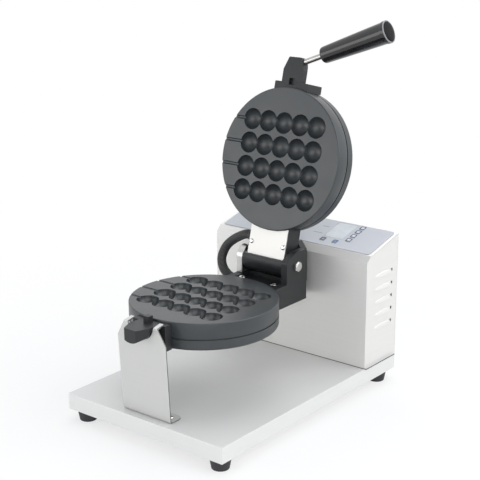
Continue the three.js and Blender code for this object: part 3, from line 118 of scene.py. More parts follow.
class Nodes:
    """A small builder of node trees."""

    def __init__(self, owner):
        owner.use_nodes = True
        self.owner, self.tree = owner, owner.node_tree

    def feed(self, socket, value):
        """Links an output to a socket, or sets the socket to a value."""
        if isinstance(value, bpy.types.NodeSocket):
            self.tree.links.new(value, socket)
        else:
            socket.default_value = (*value, 1) if socket.type == "RGBA" else value

    def add(self, kind, inputs, output=0, **values):
        """Adds a node with its inputs fed and gives one of its outputs, if it has any."""
        node = self.tree.nodes.new("ShaderNode" + kind)
        for key, value in values.items():
            setattr(node, key, value)
        for key, value in inputs.items():
            self.feed(node.inputs[key], value)
        return node.outputs[output] if node.outputs else None

    def between(self, value, low, high, start=0.3, stop=0.7):
        limits = {"From Min": start, "From Max": stop, "To Min": low, "To Max": high}
        return self.add("MapRange", {"Value": value, **limits})

    def calc(self, operation, first, second=0):
        return self.add("Math", {0: first, 1: second}, operation=operation)

    def ray(self, kind):
        return self.add("LightPath", {}, f"Is {kind} Ray")


def new_object(name, data):
    item = bpy.data.objects.new(name, data)
    scene.collection.objects.link(item)
    return item


def make_camera():
    yaw, pitch, roll = map(radians, CAMERA_TURN)
    turn = (Matrix.Rotation(yaw, 4, "Z") @ Matrix.Rotation(pi / 2 + pitch, 4, "X")
            @ Matrix.Rotation(-roll, 4, "Z"))
    camera = new_object("camera", bpy.data.cameras.new("camera"))
    camera.matrix_world = Matrix.Translation(TRAY_FRONT + Vector(CAMERA_PLACE) * MM) @ turn
    for key, value in LENS.items():
        setattr(camera.data, key, value)
    scene.camera = camera


def make_lamp(name, place, target, size, power):
    light = bpy.data.lights.new(name, "AREA")
    light.shape = "RECTANGLE"
    light.size, light.size_y = size
    light.energy = power
    holder = new_object(name, light)
    holder.location = place
    holder.rotation_euler = (Vector(target) - Vector(place)).to_track_quat("-Z", "Y").to_euler()


def make_world():
    """White to the camera, an even room for matt rays and a banded studio for glossy ones."""
    world = bpy.data.worlds.new("studio")
    scene.world = world
    nodes = Nodes(world)
    nodes.tree.nodes.clear()
    way = nodes.add("TexCoord", {}, "Generated")
    ahead = nodes.add("VectorMath", {0: way, 1: SKY_WAY}, "Value", operation="DOT_PRODUCT")
    bands = nodes.add("ValToRGB", {0: nodes.between(ahead, 0, 1, -1, 1)}, "Color")
    ramp = bands.node.color_ramp
    while len(ramp.elements) < len(SKY_LEVELS):
        ramp.elements.new(0.5)
    for element, (at, level) in zip(ramp.elements, SKY_LEVELS):
        element.position = at
        element.color = (level, level, level * 1.01, 1)
    room = nodes.add("Background", {"Color": ROOM_TINT, "Strength": ROOM_STRENGTH})
    studio = nodes.add("Background", {"Color": bands, "Strength": SKY_STRENGTH})
    backdrop = nodes.add("Background", {"Color": WHITE})
    lit = nodes.add("MixShader", {0: nodes.ray("Glossy"), 1: room, 2: studio})
    shown = nodes.add("MixShader", {0: nodes.ray("Camera"), 1: lit, 2: backdrop})
    nodes.add("OutputWorld", {"Surface": shown})


def make_floor():
    """Matt where light falls on it, and partly glowing white where it is seen or mirrored."""
    reach, drop, tone = 6, 0.0002, (0.86, 0.86, 0.86)
    nodes = Nodes(bpy.data.materials.new("floor"))
    nodes.tree.nodes.clear()
    place = nodes.add("TexCoord", {}, "Object")
    away = nodes.add("VectorMath", {0: place}, "Value", operation="LENGTH")
    seen = nodes.calc("MAXIMUM", nodes.ray("Camera"), nodes.ray("Glossy"))
    share = nodes.calc("MULTIPLY", seen, nodes.between(away, *GLOW))
    matt = nodes.add("BsdfDiffuse", {"Color": tone})
    glow = nodes.add("Emission", {"Color": WHITE})
    nodes.add("OutputMaterial", {"Surface": nodes.add("MixShader", {0: share, 1: matt, 2: glow})})
    mesh = bpy.data.meshes.new("floor")
    corners = [(x * reach, y * reach, 0) for x, y in ((-1, -1), (1, -1), (1, 1), (-1, 1))]
    mesh.from_pydata(corners, [], [(0, 1, 2, 3)])
    mesh.materials.append(nodes.owner)
    floor = new_object("floor", mesh)
    floor.location.z = cad_box[0].z - drop


make_camera()
make_world()
make_floor()
for lamp_name, lamp_values in LAMPS.items():
    make_lamp(lamp_name, *lamp_values)
scene.view_settings.view_transform = "Standard"


# Materials
LINES_ALONG, LINES_ACROSS, SIDEWAYS = 9, 2600, 0.7


class Shader(Nodes):
    """A builder of procedural materials, in metres."""

    def __init__(self, name, color, roughness, metallic=0):
        super().__init__(bpy.data.materials.new(name))
        self.surface = self.tree.nodes["Principled BSDF"]
        self.set("Base Color", color)
        self.set("Roughness", roughness)
        self.set("Metallic", metallic)
        self.owner.diffuse_color = (*color, 1)

    def set(self, socket, value):
        self.feed(self.surface.inputs[socket], value)

    def places(self, scale=(1, 1, 1)):
        return self.add("Mapping", {"Vector": self.add("TexCoord", {}, "Object"), "Scale": scale})

    def noise(self, scale, detail=3, rough=0.5, stretch=(1, 1, 1)):
        inputs = {"Vector": self.places(stretch), "Scale": scale, "Detail": detail, "Roughness": rough}
        return self.add("TexNoise", inputs, "Fac")

    def blend(self, share, first, second):
        return self.add("Mix", {0: share, 6: first, 7: second}, 2, data_type="RGBA")

    def cloudy(self, clouds, first, second):
        return self.blend(self.between(clouds, 0, 1), first, second)

    def uneven(self, base, low, high, marks, reach):
        return self.calc("ADD", self.between(base, low, high), self.between(marks, -reach, reach))

    def coordinate(self, axis):
        return self.add("SeparateXYZ", {0: self.places()}, axis)

    def finish(self, tone, level, height, strength, distance):
        """Gives the material its colour, roughness and relief, the last in metres."""
        relief = {"Height": height, "Strength": strength, "Distance": distance}
        self.set("Base Color", tone)
        self.set("Roughness", level)
        self.set("Normal", self.add("Bump", relief))
        return self.owner


def tinted(color, factor):
    return tuple(channel * factor for channel in color)


def brushed(name, color, smooth, rough, grain=0.04, smudge=0.02, metallic=0.5, painted_side_shade=1):
    """Brushed sheet: fine lines along X, or along Y on faces that look along X, which can be darkened as painted
    shade.
    """
    shader = Shader(name, color, (smooth + rough) / 2, metallic)
    facing = shader.add("SeparateXYZ", {0: shader.add("NewGeometry", {}, "Normal")}, "X")
    sideways = shader.calc("GREATER_THAN", shader.calc("ABSOLUTE", facing), SIDEWAYS)
    along_x = shader.noise(1, 4, 0.65, (LINES_ALONG, LINES_ACROSS, LINES_ACROSS))
    along_y = shader.noise(1, 4, 0.65, (LINES_ACROSS, LINES_ALONG, LINES_ACROSS))
    lines = shader.add("Mix", {0: sideways, 2: along_x, 3: along_y}, data_type="FLOAT")
    level = shader.uneven(lines, smooth, rough, shader.noise(16, 5, 0.62), smudge)
    tone = shader.blend(shader.between(lines, 0, 1, 0.35, 0.6), tinted(color, 1 - grain), color)
    # Painted shade: faces that look along X get a darker tone, as if they were in shade.
    if painted_side_shade < 1:
        tone = shader.blend(sideways, tone, tinted(color, painted_side_shade))
    return shader.finish(tone, level, lines, 0.1, 0.00002)


def machined(name, color, smooth, rough):
    """Turned or plated small metal parts: faint clouds and fine scratches."""
    shader = Shader(name, color, (smooth + rough) / 2, 1)
    clouds = shader.noise(130, 4, 0.6)
    scratch = shader.noise(1, 2, 0.5, (300, 2400, 900))
    level = shader.uneven(clouds, smooth, rough, scratch, 0.03)
    tone = shader.cloudy(clouds, tinted(color, 0.82), color)
    return shader.finish(tone, level, scratch, 0.1, 0.00003)


def casting(name, low, high, speck_tone, smooth, rough, specular):
    """A coated or painted casting: a fine cast skin with pale specks and uneven gloss."""
    shader = Shader(name, low, (smooth + rough) / 2)
    shader.set("Specular IOR Level", specular)
    skin = shader.noise(2300, 3, 0.6)
    clouds = shader.noise(34, 5, 0.62)
    tone = shader.cloudy(clouds, low, high)
    speck = shader.between(skin, 0, 1, 0.6, 0.72)
    tone = shader.blend(shader.calc("MULTIPLY", speck, 0.3), tone, speck_tone)
    level = shader.uneven(clouds, smooth, rough, skin, 0.04)
    return shader.finish(tone, level, skin, 0.12, 0.00005)


def moulded(name, color, roughness, skin=0.12, scale=1500, specular=0.5):
    """Moulded plastic or rubber: a faint skin and uneven gloss."""
    shader = Shader(name, color, roughness)
    shader.set("Specular IOR Level", specular)
    grain = shader.noise(scale, 3, 0.55)
    clouds = shader.noise(40, 4, 0.6)
    light = tuple(min(1, channel * 1.25 + 0.004) for channel in color)
    tone = shader.cloudy(clouds, color, light)
    level = shader.between(clouds, roughness * 0.85, min(1, roughness * 1.2))
    return shader.finish(tone, level, grain, skin, 0.00006)


def sleeving():
    """Woven black sleeving: two sets of threads crossing at a slant."""
    shader = Shader("woven_sleeving", (0.02, 0.02, 0.021), 0.55)
    waves = []
    for scale in ((1, 1, 1), (1, -1, 1)):
        inputs = {"Vector": shader.places(scale), "Scale": 210, "Distortion": 1.2}
        waves.append(shader.add("TexWave", inputs, "Fac", bands_direction="DIAGONAL"))
    weave = shader.calc("MULTIPLY", *waves)
    tone = shader.blend(weave, (0.012, 0.012, 0.013), (0.05, 0.05, 0.052))
    return shader.finish(tone, shader.between(weave, 0.5, 0.7, 0, 1), weave, 0.5, 0.0002)


def element_sheath():
    """Metal sheath, darkened unevenly by heat."""
    shader = Shader("heat_darkened_sheath", (0.12, 0.11, 0.1), 0.45, 1)
    clouds = shader.noise(60, 5, 0.65)
    tone = shader.cloudy(clouds, (0.07, 0.065, 0.062), (0.2, 0.165, 0.14))
    return shader.finish(tone, shader.between(clouds, 0.35, 0.6), shader.noise(900), 0.2, 0.0001)


def membrane():
    """Printed film, greenish grey that turns to lavender towards the right."""
    shader = Shader("membrane_film", (0.6, 0.62, 0.7), 0.36)
    shader.set("Specular IOR Level", 0.35)
    reach = 0.12
    across = shader.between(shader.coordinate("X"), 0, 1, MID_X - reach, MID_X + reach)
    tone = shader.blend(across, (0.445, 0.472, 0.492), (0.475, 0.485, 0.533))
    fine = shader.noise(1900, 2, 0.5)
    tone = shader.blend(shader.between(fine, 0, 0.25), tone, (0.57, 0.58, 0.63))
    return shader.finish(tone, shader.between(shader.noise(30, 4, 0.6), 0.3, 0.44), fine, 0.12, 0.00005)


def circuit():
    """Green solder mask over a lattice of tracks."""
    shader = Shader("solder_mask", (0.012, 0.1, 0.035), 0.3)
    tracks = shader.add("TexBrick", {"Vector": shader.places(), "Scale": 160, "Mortar Size": 0.06}, "Fac")
    tone = shader.blend(tracks, (0.01, 0.075, 0.03), (0.02, 0.15, 0.06))
    return shader.finish(tone, 0.3, tracks, 0.2, 0.00004)


def laminations():
    """Varnished iron sheets, stacked along Y."""
    shader = Shader("varnished_laminations", (0.12, 0.08, 0.05), 0.4, 0.4)
    sheets_per_metre = 1400
    leaf = shader.calc("FRACT", shader.calc("MULTIPLY", shader.coordinate("Y"), sheets_per_metre))
    tone = shader.blend(leaf, (0.07, 0.045, 0.03), (0.17, 0.12, 0.08))
    return shader.finish(tone, shader.between(shader.noise(90), 0.3, 0.5), leaf, 0.35, 0.0001)


MATERIALS = {
    "stainless_sheet": brushed("brushed_stainless", (0.755, 0.747, 0.725), 0.4, 0.5),
    "polished_steel": machined("polished_steel", (0.74, 0.74, 0.73), 0.09, 0.2),
    "zinc_steel": machined("zinc_plate", (0.5, 0.51, 0.52), 0.28, 0.45),
    "coated_casting": casting("non_stick_coating", (0.018, 0.023, 0.026), (0.025, 0.031, 0.035),
                              (0.08, 0.085, 0.09), 0.34, 0.43, 0.7),
    "element_alloy": element_sheath(),
    "black_grip": moulded("glossy_black_plastic", (0.006, 0.006, 0.007), 0.15, 0.01, 300, 0.6),
    "black_gland": moulded("satin_black_nylon", (0.022, 0.022, 0.023), 0.42),
    "foot_rubber": moulded("matte_rubber", (0.024, 0.024, 0.026), 0.72, 0.3, 1100),
    "conduit_rubber": sleeving(),
    "membrane_film": membrane(),
    "display_lens": moulded("display_lens", (0.49, 0.52, 0.55), 0.3, 0.02, 500),
    "display_body": moulded("display_body", (0.03, 0.03, 0.032), 0.5),
    "circuit_board": circuit(),
    "insulator": moulded("cream_insulator", (0.68, 0.65, 0.56), 0.5),
    "varnished_core": laminations(),
    "bearing_bronze": machined("bearing_bronze", (0.4, 0.235, 0.07), 0.25, 0.4),
}
PAINTED_CASTING = casting("painted_casting", (0.013, 0.0145, 0.0155), (0.018, 0.02, 0.021),
                          (0.05, 0.052, 0.054), 0.38, 0.5, 0.4)
DRAWN_ROD = machined("drawn_rod", (0.46, 0.455, 0.44), 0.14, 0.24)
SATIN_STEEL = machined("satin_steel", (0.6, 0.6, 0.59), 0.26, 0.38)
SATIN_PLATE = brushed("satin_cover_plate", (0.8, 0.78, 0.745), 0.36, 0.46, 0.03, metallic=0.3)
TRAY_SHEET = brushed("tray_sheet", (0.72, 0.715, 0.7), 0.5, 0.6, metallic=0.15)
# The bracket's faces that look along X carry painted shade.
BRACKET_SHEET = brushed("bracket_sheet", (0.58, 0.58, 0.565), 0.4, 0.5, painted_side_shade=0.3)
CAP_BLACK = moulded("cap_black_plastic", (0.004, 0.004, 0.005), 0.5, 0.05, specular=0.12)
# A lighter grey for the grip's lip: painted highlight, standing for light caught on its edge.
LIP_HIGHLIGHT_GREY = moulded("lip_painted_highlight", (0.2, 0.2, 0.21), 0.25, 0.02, 300)
# Dark seal bead; its darkness also stands in for the shadow in the joint at the housing's foot, as painted shade.
SEAL_AND_GAP_SHADE = moulded("seal_and_gap_shade", (0.03, 0.03, 0.03), 0.5)
COPPER_TAPE = moulded("winding_tape", (0.42, 0.27, 0.06), 0.42)
INKS = {name: moulded(name, tone, 0.4, 0.05) for name, tone in {
    "dark_ink": (0.035, 0.035, 0.07),
    "blue_ink": (0.06, 0.125, 0.22),
    "frame_ink": (0.03, 0.05, 0.085),
    "face_ink": (0.5, 0.54, 0.6),
    "pale_ink": (0.6, 0.64, 0.7),
    "grey_ink": (0.2, 0.2, 0.27),
    "faint_ink": (0.42, 0.44, 0.48),
}.items()}


# Making pieces: lengths in millimetres and angles in degrees
SHARP_ANGLE = 38
FLAT_LIMIT = 0.9999
MERGE_DISTANCE = 2e-6
SAME_PLANE_ANGLE = 0.7
OVERRUN = 1
AXES = {"+Z": AS_DRAWN, "-Z": Matrix.Rotation(pi, 4, "X"),
        "+X": Matrix.Rotation(pi / 2, 4, "Y"), "-X": Matrix.Rotation(-pi / 2, 4, "Y"),
        "+Y": Matrix.Rotation(-pi / 2, 4, "X")}


def object_from(name, solid):
    """A scene object with the finished bmesh as its mesh."""
    mesh = bpy.data.meshes.new(name)
    solid.to_mesh(mesh)
    solid.free()
    return new_object(name, mesh)


def settle(piece):
    """Replaces a piece's mesh by what its modifiers make of it."""
    bpy.context.view_layer.update()
    graph = bpy.context.evaluated_depsgraph_get()
    mesh = bpy.data.meshes.new_from_object(piece.evaluated_get(graph))
    piece.modifiers.clear()
    piece.data = mesh
    return piece


def soften(piece, width, segments=2, angle=30):
    """Rounds every edge sharper than the angle."""
    bevel = piece.modifiers.new("edges", "BEVEL")
    bevel.width = width * MM
    bevel.segments = segments
    bevel.limit_method = "ANGLE"
    bevel.angle_limit = radians(angle)
    bevel.miter_outer = "MITER_ARC"
    return settle(piece)


def carve(piece, *tools, operation="DIFFERENCE"):
    """Cuts the tools out of a piece, or joins them to it, and removes them."""
    for tool in tools:
        cut = piece.modifiers.new("cut", "BOOLEAN")
        cut.operation = operation
        cut.solver = "EXACT"
        cut.object = tool
    settle(piece)
    for tool in tools:
        bpy.data.objects.remove(tool)
    return piece


def smooth(piece, angle=SHARP_ANGLE, flat_way=None):
    """Smooth shading that keeps edges over the angle sharp, and faces along the flat way quite flat."""
    piece.data.shade_smooth()
    piece.data.set_sharp_from_angle(angle=radians(angle))
    if flat_way is None:
        weighted = piece.modifiers.new("normals", "WEIGHTED_NORMAL")
        weighted.keep_sharp = True
        settle(piece)
        return
    for face in piece.data.polygons:
        face.use_smooth = abs(face.normal.dot(flat_way)) < FLAT_LIMIT


def extra(piece, body, slot, material=None, **shading):
    """Finishes a small piece that has no CAD node of its own."""
    smooth(piece, **shading)
    piece.data.materials.clear()
    piece.data.materials.append(material or MATERIALS[slot])
    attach(piece, body)


def hand_over(piece, node, material=None, **shading):
    """Finishes a piece that stands for a CAD node."""
    extra(piece, BODY_OF[node], SLOT_OF[node], material, **shading)
    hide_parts(node)


def cad_copy(node):
    """The CAD solid with its triangles merged back into flat faces."""
    solid = bmesh.new()
    solid.from_mesh(NODES[node].data)
    bmesh.ops.remove_doubles(solid, verts=solid.verts, dist=MERGE_DISTANCE)
    bmesh.ops.join_triangles(solid, faces=solid.faces, angle_shape_threshold=pi,
                             angle_face_threshold=radians(SAME_PLANE_ANGLE))
    return object_from(node + "_form", solid)


def dressed(node, width, segments=2, material=None):
    """The CAD solid itself, with rounded edges."""
    hand_over(soften(cad_copy(node), width, segments), node, material)


def span(node, axis):
    """Where a CAD node starts and ends along an axis."""
    return [getattr(corner, axis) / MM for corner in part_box(node)]


def over(node, height):
    """The point of a node's upright middle line at a height in metres."""
    low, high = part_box(node)
    centre = (low + high) / 2
    return Vector((centre.x, centre.y, height))


def taken(piece):
    """The bmesh of a piece, which is removed."""
    solid = bmesh.new()
    solid.from_mesh(piece.data)
    bpy.data.objects.remove(piece)
    return solid


def moved(solid, matrix):
    """Moves a solid and keeps its faces outward where the matrix mirrors it."""
    solid.transform(matrix)
    if matrix.determinant() < 0:
        bmesh.ops.reverse_faces(solid, faces=solid.faces)
    return solid


def placed(name, solid, origin, axis, after):
    """The object of a solid drawn about Z, in its place and direction."""
    bmesh.ops.recalc_face_normals(solid, faces=solid.faces)
    turn = axis if isinstance(axis, Matrix) else AXES[axis]
    matrix = after @ (Matrix.Translation(origin) @ turn @ Matrix.Scale(MM, 4))
    return object_from(name, moved(solid, matrix))


def lathe(profile, sides):
    """A solid turned about Z from (radius, height) points, from axis to axis or closed round a bore."""
    solid = bmesh.new()
    closed = profile[0] == profile[-1]
    rings = []
    for radius, height in profile[:-1] if closed else profile:
        turns = [2 * pi * k / sides for k in range(sides if radius else 1)]
        rings.append([solid.verts.new((radius * cos(turn), radius * sin(turn), height)) for turn in turns])
    for lower, upper in zip(rings, rings[1:] + rings[:1] if closed else rings[1:]):
        for k in range(sides):
            corners = dict.fromkeys((lower[k % len(lower)], lower[(k + 1) % len(lower)],
                                     upper[(k + 1) % len(upper)], upper[k % len(upper)]))
            if len(corners) > 2:
                solid.faces.new(list(corners))
    return solid


def turned(name, profile, sides, origin, axis="+Z", after=AS_DRAWN):
    return placed(name, lathe(profile, sides), origin, axis, after)


def prism(name, outline, low, high, origin=(0, 0, 0), axis="+Z", after=AS_DRAWN):
    """A flat outline in (x, y) drawn out along Z, then placed."""
    solid = bmesh.new()
    face = solid.faces.new([solid.verts.new((x, y, low)) for x, y in outline])
    raised = bmesh.ops.extrude_face_region(solid, geom=[face])
    top = [v for v in raised["geom"] if isinstance(v, bmesh.types.BMVert)]
    bmesh.ops.translate(solid, verts=top, vec=(0, 0, high - low))
    return placed(name, solid, origin, axis, after)


def arc(x, y, radius, start, stop, steps):
    """Points of a round corner about (x, y), from one angle to another."""
    angles = [radians(start + (stop - start) * k / steps) for k in range(steps + 1)]
    return [(x + radius * cos(angle), y + radius * sin(angle)) for angle in angles]


def rod(radius, low, high):
    """Half section of a plain rod."""
    return [(0, low), (radius, low), (radius, high), (0, high)]


def collar(inner, outer, low, high, edge):
    """Half section of a ring with its outer edges broken."""
    return [(inner, low), (outer - edge, low), (outer, low + edge), (outer, high - edge),
            (outer - edge, high), (inner, high), (inner, low)]


def hexagon(radius, low, high, chamfer, rise_share=0.6):
    """Half section of a nut or head over its corners, to be turned in six sides."""
    rise = chamfer * rise_share
    return [(0, low), (radius - chamfer, low), (radius, low + rise), (radius, high - rise),
            (radius - chamfer, high), (0, high)]


def rectangle(x0, x1, y0, y1):
    return [(x0, y0), (x1, y0), (x1, y1), (x0, y1)]


def rounded(x, y, half_x, half_y, radius, steps=5):
    """Corners of a rounded rectangle about a centre."""
    across, along, points = half_x - radius, half_y - radius, []
    for way_x, way_y, start in ((1, 1, 0), (-1, 1, 90), (-1, -1, 180), (1, -1, 270)):
        points += arc(x + way_x * across, y + way_y * along, radius, start, start + 90, steps)
    return points


def curve(points, steps):
    """A smooth line through the points, in steps from each to the next."""
    route = []
    padded = [points[0] * 2 - points[1], *points, points[-1] * 2 - points[-2]]
    for a, b, c, d in zip(padded, padded[1:], padded[2:], padded[3:]):
        for k in range(steps):
            t = k / steps
            route.append(0.5 * (2 * b + (c - a) * t + (2 * a - 5 * b + 4 * c - d) * t * t
                                + (3 * b - a - 3 * c + d) * t ** 3))
    route.append(points[-1])
    return route


def tube(name, route, radius, sides, after=AS_DRAWN):
    """A round tube with closed ends along a route, in metres."""
    solid = bmesh.new()
    side = (route[1] - route[0]).orthogonal().normalized()
    rings = []
    for k, point in enumerate(route):
        ahead = (route[min(k + 1, len(route) - 1)] - route[max(k - 1, 0)]).normalized()
        side = (side - ahead * side.dot(ahead)).normalized()
        other = ahead.cross(side)
        turns = [2 * pi * j / sides for j in range(sides)]
        rings.append([solid.verts.new(point + radius * (cos(turn) * side + sin(turn) * other))
                      for turn in turns])
    for lower, upper in zip(rings, rings[1:]):
        for j in range(sides):
            solid.faces.new((lower[j], lower[(j + 1) % sides], upper[(j + 1) % sides], upper[j]))
    solid.faces.new(rings[0][::-1])
    solid.faces.new(rings[-1])
    bmesh.ops.recalc_face_normals(solid, faces=solid.faces)
    return object_from(name, moved(solid, after))


def tall(node):
    low, high = span(node, "z")
    return high - low


# Screws and glands
Screw = namedtuple("Screw", "head_radius head_height shank_radius length")
COVER_SCREW = Screw(4.6, 1.4, 2.4, 14)
NECK_SCREW = Screw(3.4, 1.6, 1.5, 8.8)
REAR_SCREW = Screw(3.2, 1.6, 1.5, 4)
TERMINAL_SCREW = Screw(2.5, 1.2, 1.2, 0.4)
CRADLE_SCREW = Screw(3.8, 2.4, 1.95, tall("cradle_screw_left") - 2.5)
FOOT_SCREW = Screw(4.3, 2.5, 2.35, tall("foot_screw_front_left") - 2.8)
YOKE_SCREW = Screw(4.9, 4, 2.9, 8.8)
COLLAR_SCREW = Screw(2, 0.9, 1.6, 4)
Gland = namedtuple("Gland", "across length dome dome_length spigot spigot_length bore")
CONDUIT_GLAND = Gland(14, 4.2, 7.2, 1.8, 4.9, 3.2, 3.5)
CABLE_GLAND = Gland(19, 5, 8, 9.3, 7.9, 10.2, 4.2)


def screw_shank(screw, lead):
    """The half section of a screw up to its head, with a lead at its tip."""
    return [(0, -screw.length), (screw.shank_radius * 0.8, -screw.length),
            (screw.shank_radius, lead - screw.length), (screw.shank_radius, 0), (screw.head_radius, 0)]


def cross_screw(name, origin, axis, screw, after=AS_DRAWN):
    """A domed screw with a cross recess, its head's underside at the origin."""
    radius, height = screw.head_radius, screw.head_height
    rim_share, steps, way = 0.3, 5, (origin, axis, after)
    angles = [pi / 2 * k / steps for k in range(steps)]
    dome = [(radius * cos(angle), height * (rim_share + (1 - rim_share) * sin(angle)))
            for angle in angles]
    head = turned(name, [*screw_shank(screw, 0.5), *dome, (0, height)], 32, *way)
    arm, wide, floor = radius * 0.62, radius * 0.17, height * 0.45
    bars = [prism("slot", rectangle(-across, across, -along, along), floor, floor + height, *way)
            for across, along in ((arm, wide), (wide, arm))]
    return carve(head, *bars)


def with_nut(screw, node, corner, low, high):
    """Hands over a screw together with the nut on its shank."""
    nut = turned("nut", hexagon(corner, low, high, 0.4), 6, over(node, 0))
    hand_over(carve(screw, nut, operation="UNION"), node)


def socket_screw(name, origin, axis, screw):
    """A cap screw with a hexagonal socket, its head's underside at the origin."""
    radius, height = screw.head_radius, screw.head_height
    edge, floor = height * 0.14, height * 0.4
    corner = radius * 1.02 / sqrt(3)
    profile = [*screw_shank(screw, 0.6), *arc(radius - edge, height - edge, edge, 0, 90, 3), (0, height)]
    head = turned(name, profile, 40, origin, axis)
    return carve(head, turned("socket", rod(corner, floor, height + OVERRUN), 6, origin, axis))


def hollow_gland(node, origin, axis, gland, after=AS_DRAWN):
    """A cable gland: hexagonal body, domed clamping nut and a spigot through the wall behind it."""
    top, edge, way = gland.length + gland.dome_length, 1.2, (origin, axis, after)
    nut = hexagon(gland.across / sqrt(3), 0, gland.length, 0.5, 0.8)
    dome = [(0, gland.length - OVERRUN), (gland.dome, gland.length - OVERRUN),
            *arc(gland.dome - edge, top - edge, edge, 0, 90, 4), (0, top)]
    body = turned(node + "_form", nut, 6, *way)
    neck = turned("neck", dome, 48, *way)
    stem = turned("stem", rod(gland.spigot, -gland.spigot_length, OVERRUN), 40, *way)
    hole = turned("hole", rod(gland.bore, -gland.spigot_length - OVERRUN, top + OVERRUN), 40, *way)
    carve(body, neck, stem, operation="UNION")
    hand_over(carve(body, hole), node)


# Pans
BALL_RADIUS, BALL_PITCH, ROW_PITCH, STICK_RADIUS = 14, 25.6, 31.1, 2.3
BALLS, ROWS, BALL_STEPS, ROW_START = 5, 4, 14, -97
LIP_ROUNDING, RIM_MARGIN, LIP_ANGLE = 0.35, 1.8, 0.5
SAME_LEVEL, SAME_POINT = 1e-5, 3e-6
QUARTERS = [radians(angle) for angle in (45, 135, 225, 315)]


def row_profile():
    """Half section of a row: the stick's groove and a string of balls, along the row."""
    stick = asin(STICK_RADIUS / BALL_RADIUS)
    neck = acos(BALL_PITCH / 2 / BALL_RADIUS)
    points = [(0, ROW_START), (STICK_RADIUS, ROW_START)]
    for ball in range(BALLS):
        enter = stick if ball == 0 else neck
        leave = 0 if ball == BALLS - 1 else neck
        for step in range(min(ball, 1), BALL_STEPS + 1):
            angle = enter + (pi - enter - leave) * step / BALL_STEPS
            along = (ball - (BALLS - 1) / 2) * BALL_PITCH - BALL_RADIUS * cos(angle)
            points.append((BALL_RADIUS * sin(angle), along))
    points[-1] = (0, points[-1][1])
    return points


def is_lip(edge):
    """Whether an edge is where a cavity meets the pan's face."""
    level = all(abs(v.co.z - FACE_Z) < SAME_LEVEL for v in edge.verts)
    inside = all((v.co.xy - PAN_CENTRE.xy).length < PAN_RADIUS - RIM_MARGIN * MM for v in edge.verts)
    return level and inside and edge.calc_face_angle(0) > LIP_ANGLE


def mould_plate(node, after):
    """A plate with rolled edges, cut by rows of half balls whose lips are rounded."""
    radius, face, back = PAN_RADIUS / MM, FACE_Z / MM, BACK_Z / MM
    heel, rim = 0.8, 1.3
    profile = [(0, back), *arc(radius - heel, back + heel, heel, -90, 0, 3),
               *arc(radius - rim, face - rim, rim, 0, 90, 4), (0, face)]
    plate = turned(node + "_form", profile, 144, PAN_CENTRE)
    rows = []
    for row in range(ROWS):
        y = PAN_CENTRE.y + (row - (ROWS - 1) / 2) * ROW_PITCH * MM
        rows.append(turned(f"row_{row}", row_profile(), 44, Vector((MID_X, y, FACE_Z)), "+X"))
    carve(plate, *rows)
    solid = taken(plate)
    bmesh.ops.remove_doubles(solid, verts=solid.verts, dist=SAME_POINT)
    lips = [edge for edge in solid.edges if is_lip(edge)]
    bmesh.ops.bevel(solid, geom=lips, offset=LIP_ROUNDING * MM, segments=2, affect="EDGES",
                    profile=0.6, clamp_overlap=True)
    face_way = after.to_3x3() @ Vector((0, 0, 1))
    hand_over(object_from(node + "_form", moved(solid, after)), node, angle=42, flat_way=face_way)


def screw_places(height=0):
    """Where a cover's screws stand, at a height in metres."""
    base, radius = PAN_CENTRE + Vector((0, 0, height)), 84.465
    return [base + Vector((radius * cos(turn), radius * sin(turn), 0)) * MM for turn in QUARTERS]


def heater_cover(node, after):
    """A dished cover with a seat for the plate, four screw bosses and an outlet towards the hinge."""
    radius = PAN_RADIUS / MM
    bottom, top = span("lower_heater_cover", "z")
    heel, edge, fillet, wall, clear = 3.6, 0.3, 0.5, 6, 0.02
    seat_in, seat, floor = 1.4, top - 1, bottom + 3.9
    boss, boss_root, hole, sink, sink_depth = 5.6, 2, 2.8, 5.2, 1.6
    profile = [(0, bottom), *arc(radius - heel, bottom + heel, heel, -90, 0, 7),
               *arc(radius - edge, seat - edge, edge, 0, 90, 2), (radius - seat_in, seat),
               (radius - seat_in, top), (radius - wall, top),
               *arc(radius - wall - fillet, floor + fillet, fillet, 0, -90, 2), (0, floor)]
    cover = turned("cover", profile, 144, PAN_CENTRE)
    bosses, cuts = [], []
    for place in screw_places():
        bosses.append(turned("boss", rod(boss, bottom + boss_root, top - clear), 32, place))
        cuts.append(turned("hole", rod(hole, bottom - OVERRUN, top + OVERRUN), 24, place))
        cuts.append(turned("sink", rod(sink, bottom - OVERRUN, bottom + sink_depth), 32, place))
    outlet = rectangle(-13, 13, radius - 14, radius + 2 * OVERRUN)
    cuts.append(prism("outlet", outlet, floor, top + OVERRUN, PAN_CENTRE))
    carve(cover, *bosses, operation="UNION")
    carve(cover, *cuts)
    hand_over(object_from(node + "_form", moved(taken(cover), after)), node)


def cover_screws(label, body, after):
    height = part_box("lower_heater_cover")[0].z + 1.5 * MM
    for index, place in enumerate(screw_places(height)):
        screw = cross_screw(f"{label}_cover_screw_{index + 1}", place, "-Z", COVER_SCREW, after)
        extra(screw, body, "zinc_steel")


def heating_element(node, after):
    """A ring that is open towards the hinge, with both ends led out there."""
    low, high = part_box("lower_heating_element")
    ring, gap, radius, steps = 0.058, radians(10), 3.9 * MM, 40
    sweep = 2 * pi - 2 * gap
    centre = Vector((PAN_CENTRE.x, PAN_CENTRE.y, (low.z + high.z) / 2))
    turns = [pi / 2 + gap + sweep * k / steps for k in range(steps + 1)]
    points = [centre + ring * Vector((cos(turn), sin(turn), 0)) for turn in turns]
    first, last = (Vector((points[end].x, high.y, centre.z)) for end in (0, -1))
    route = curve([first, *points, last], 3)
    hand_over(tube(node + "_form", route, radius, 20, after), node)


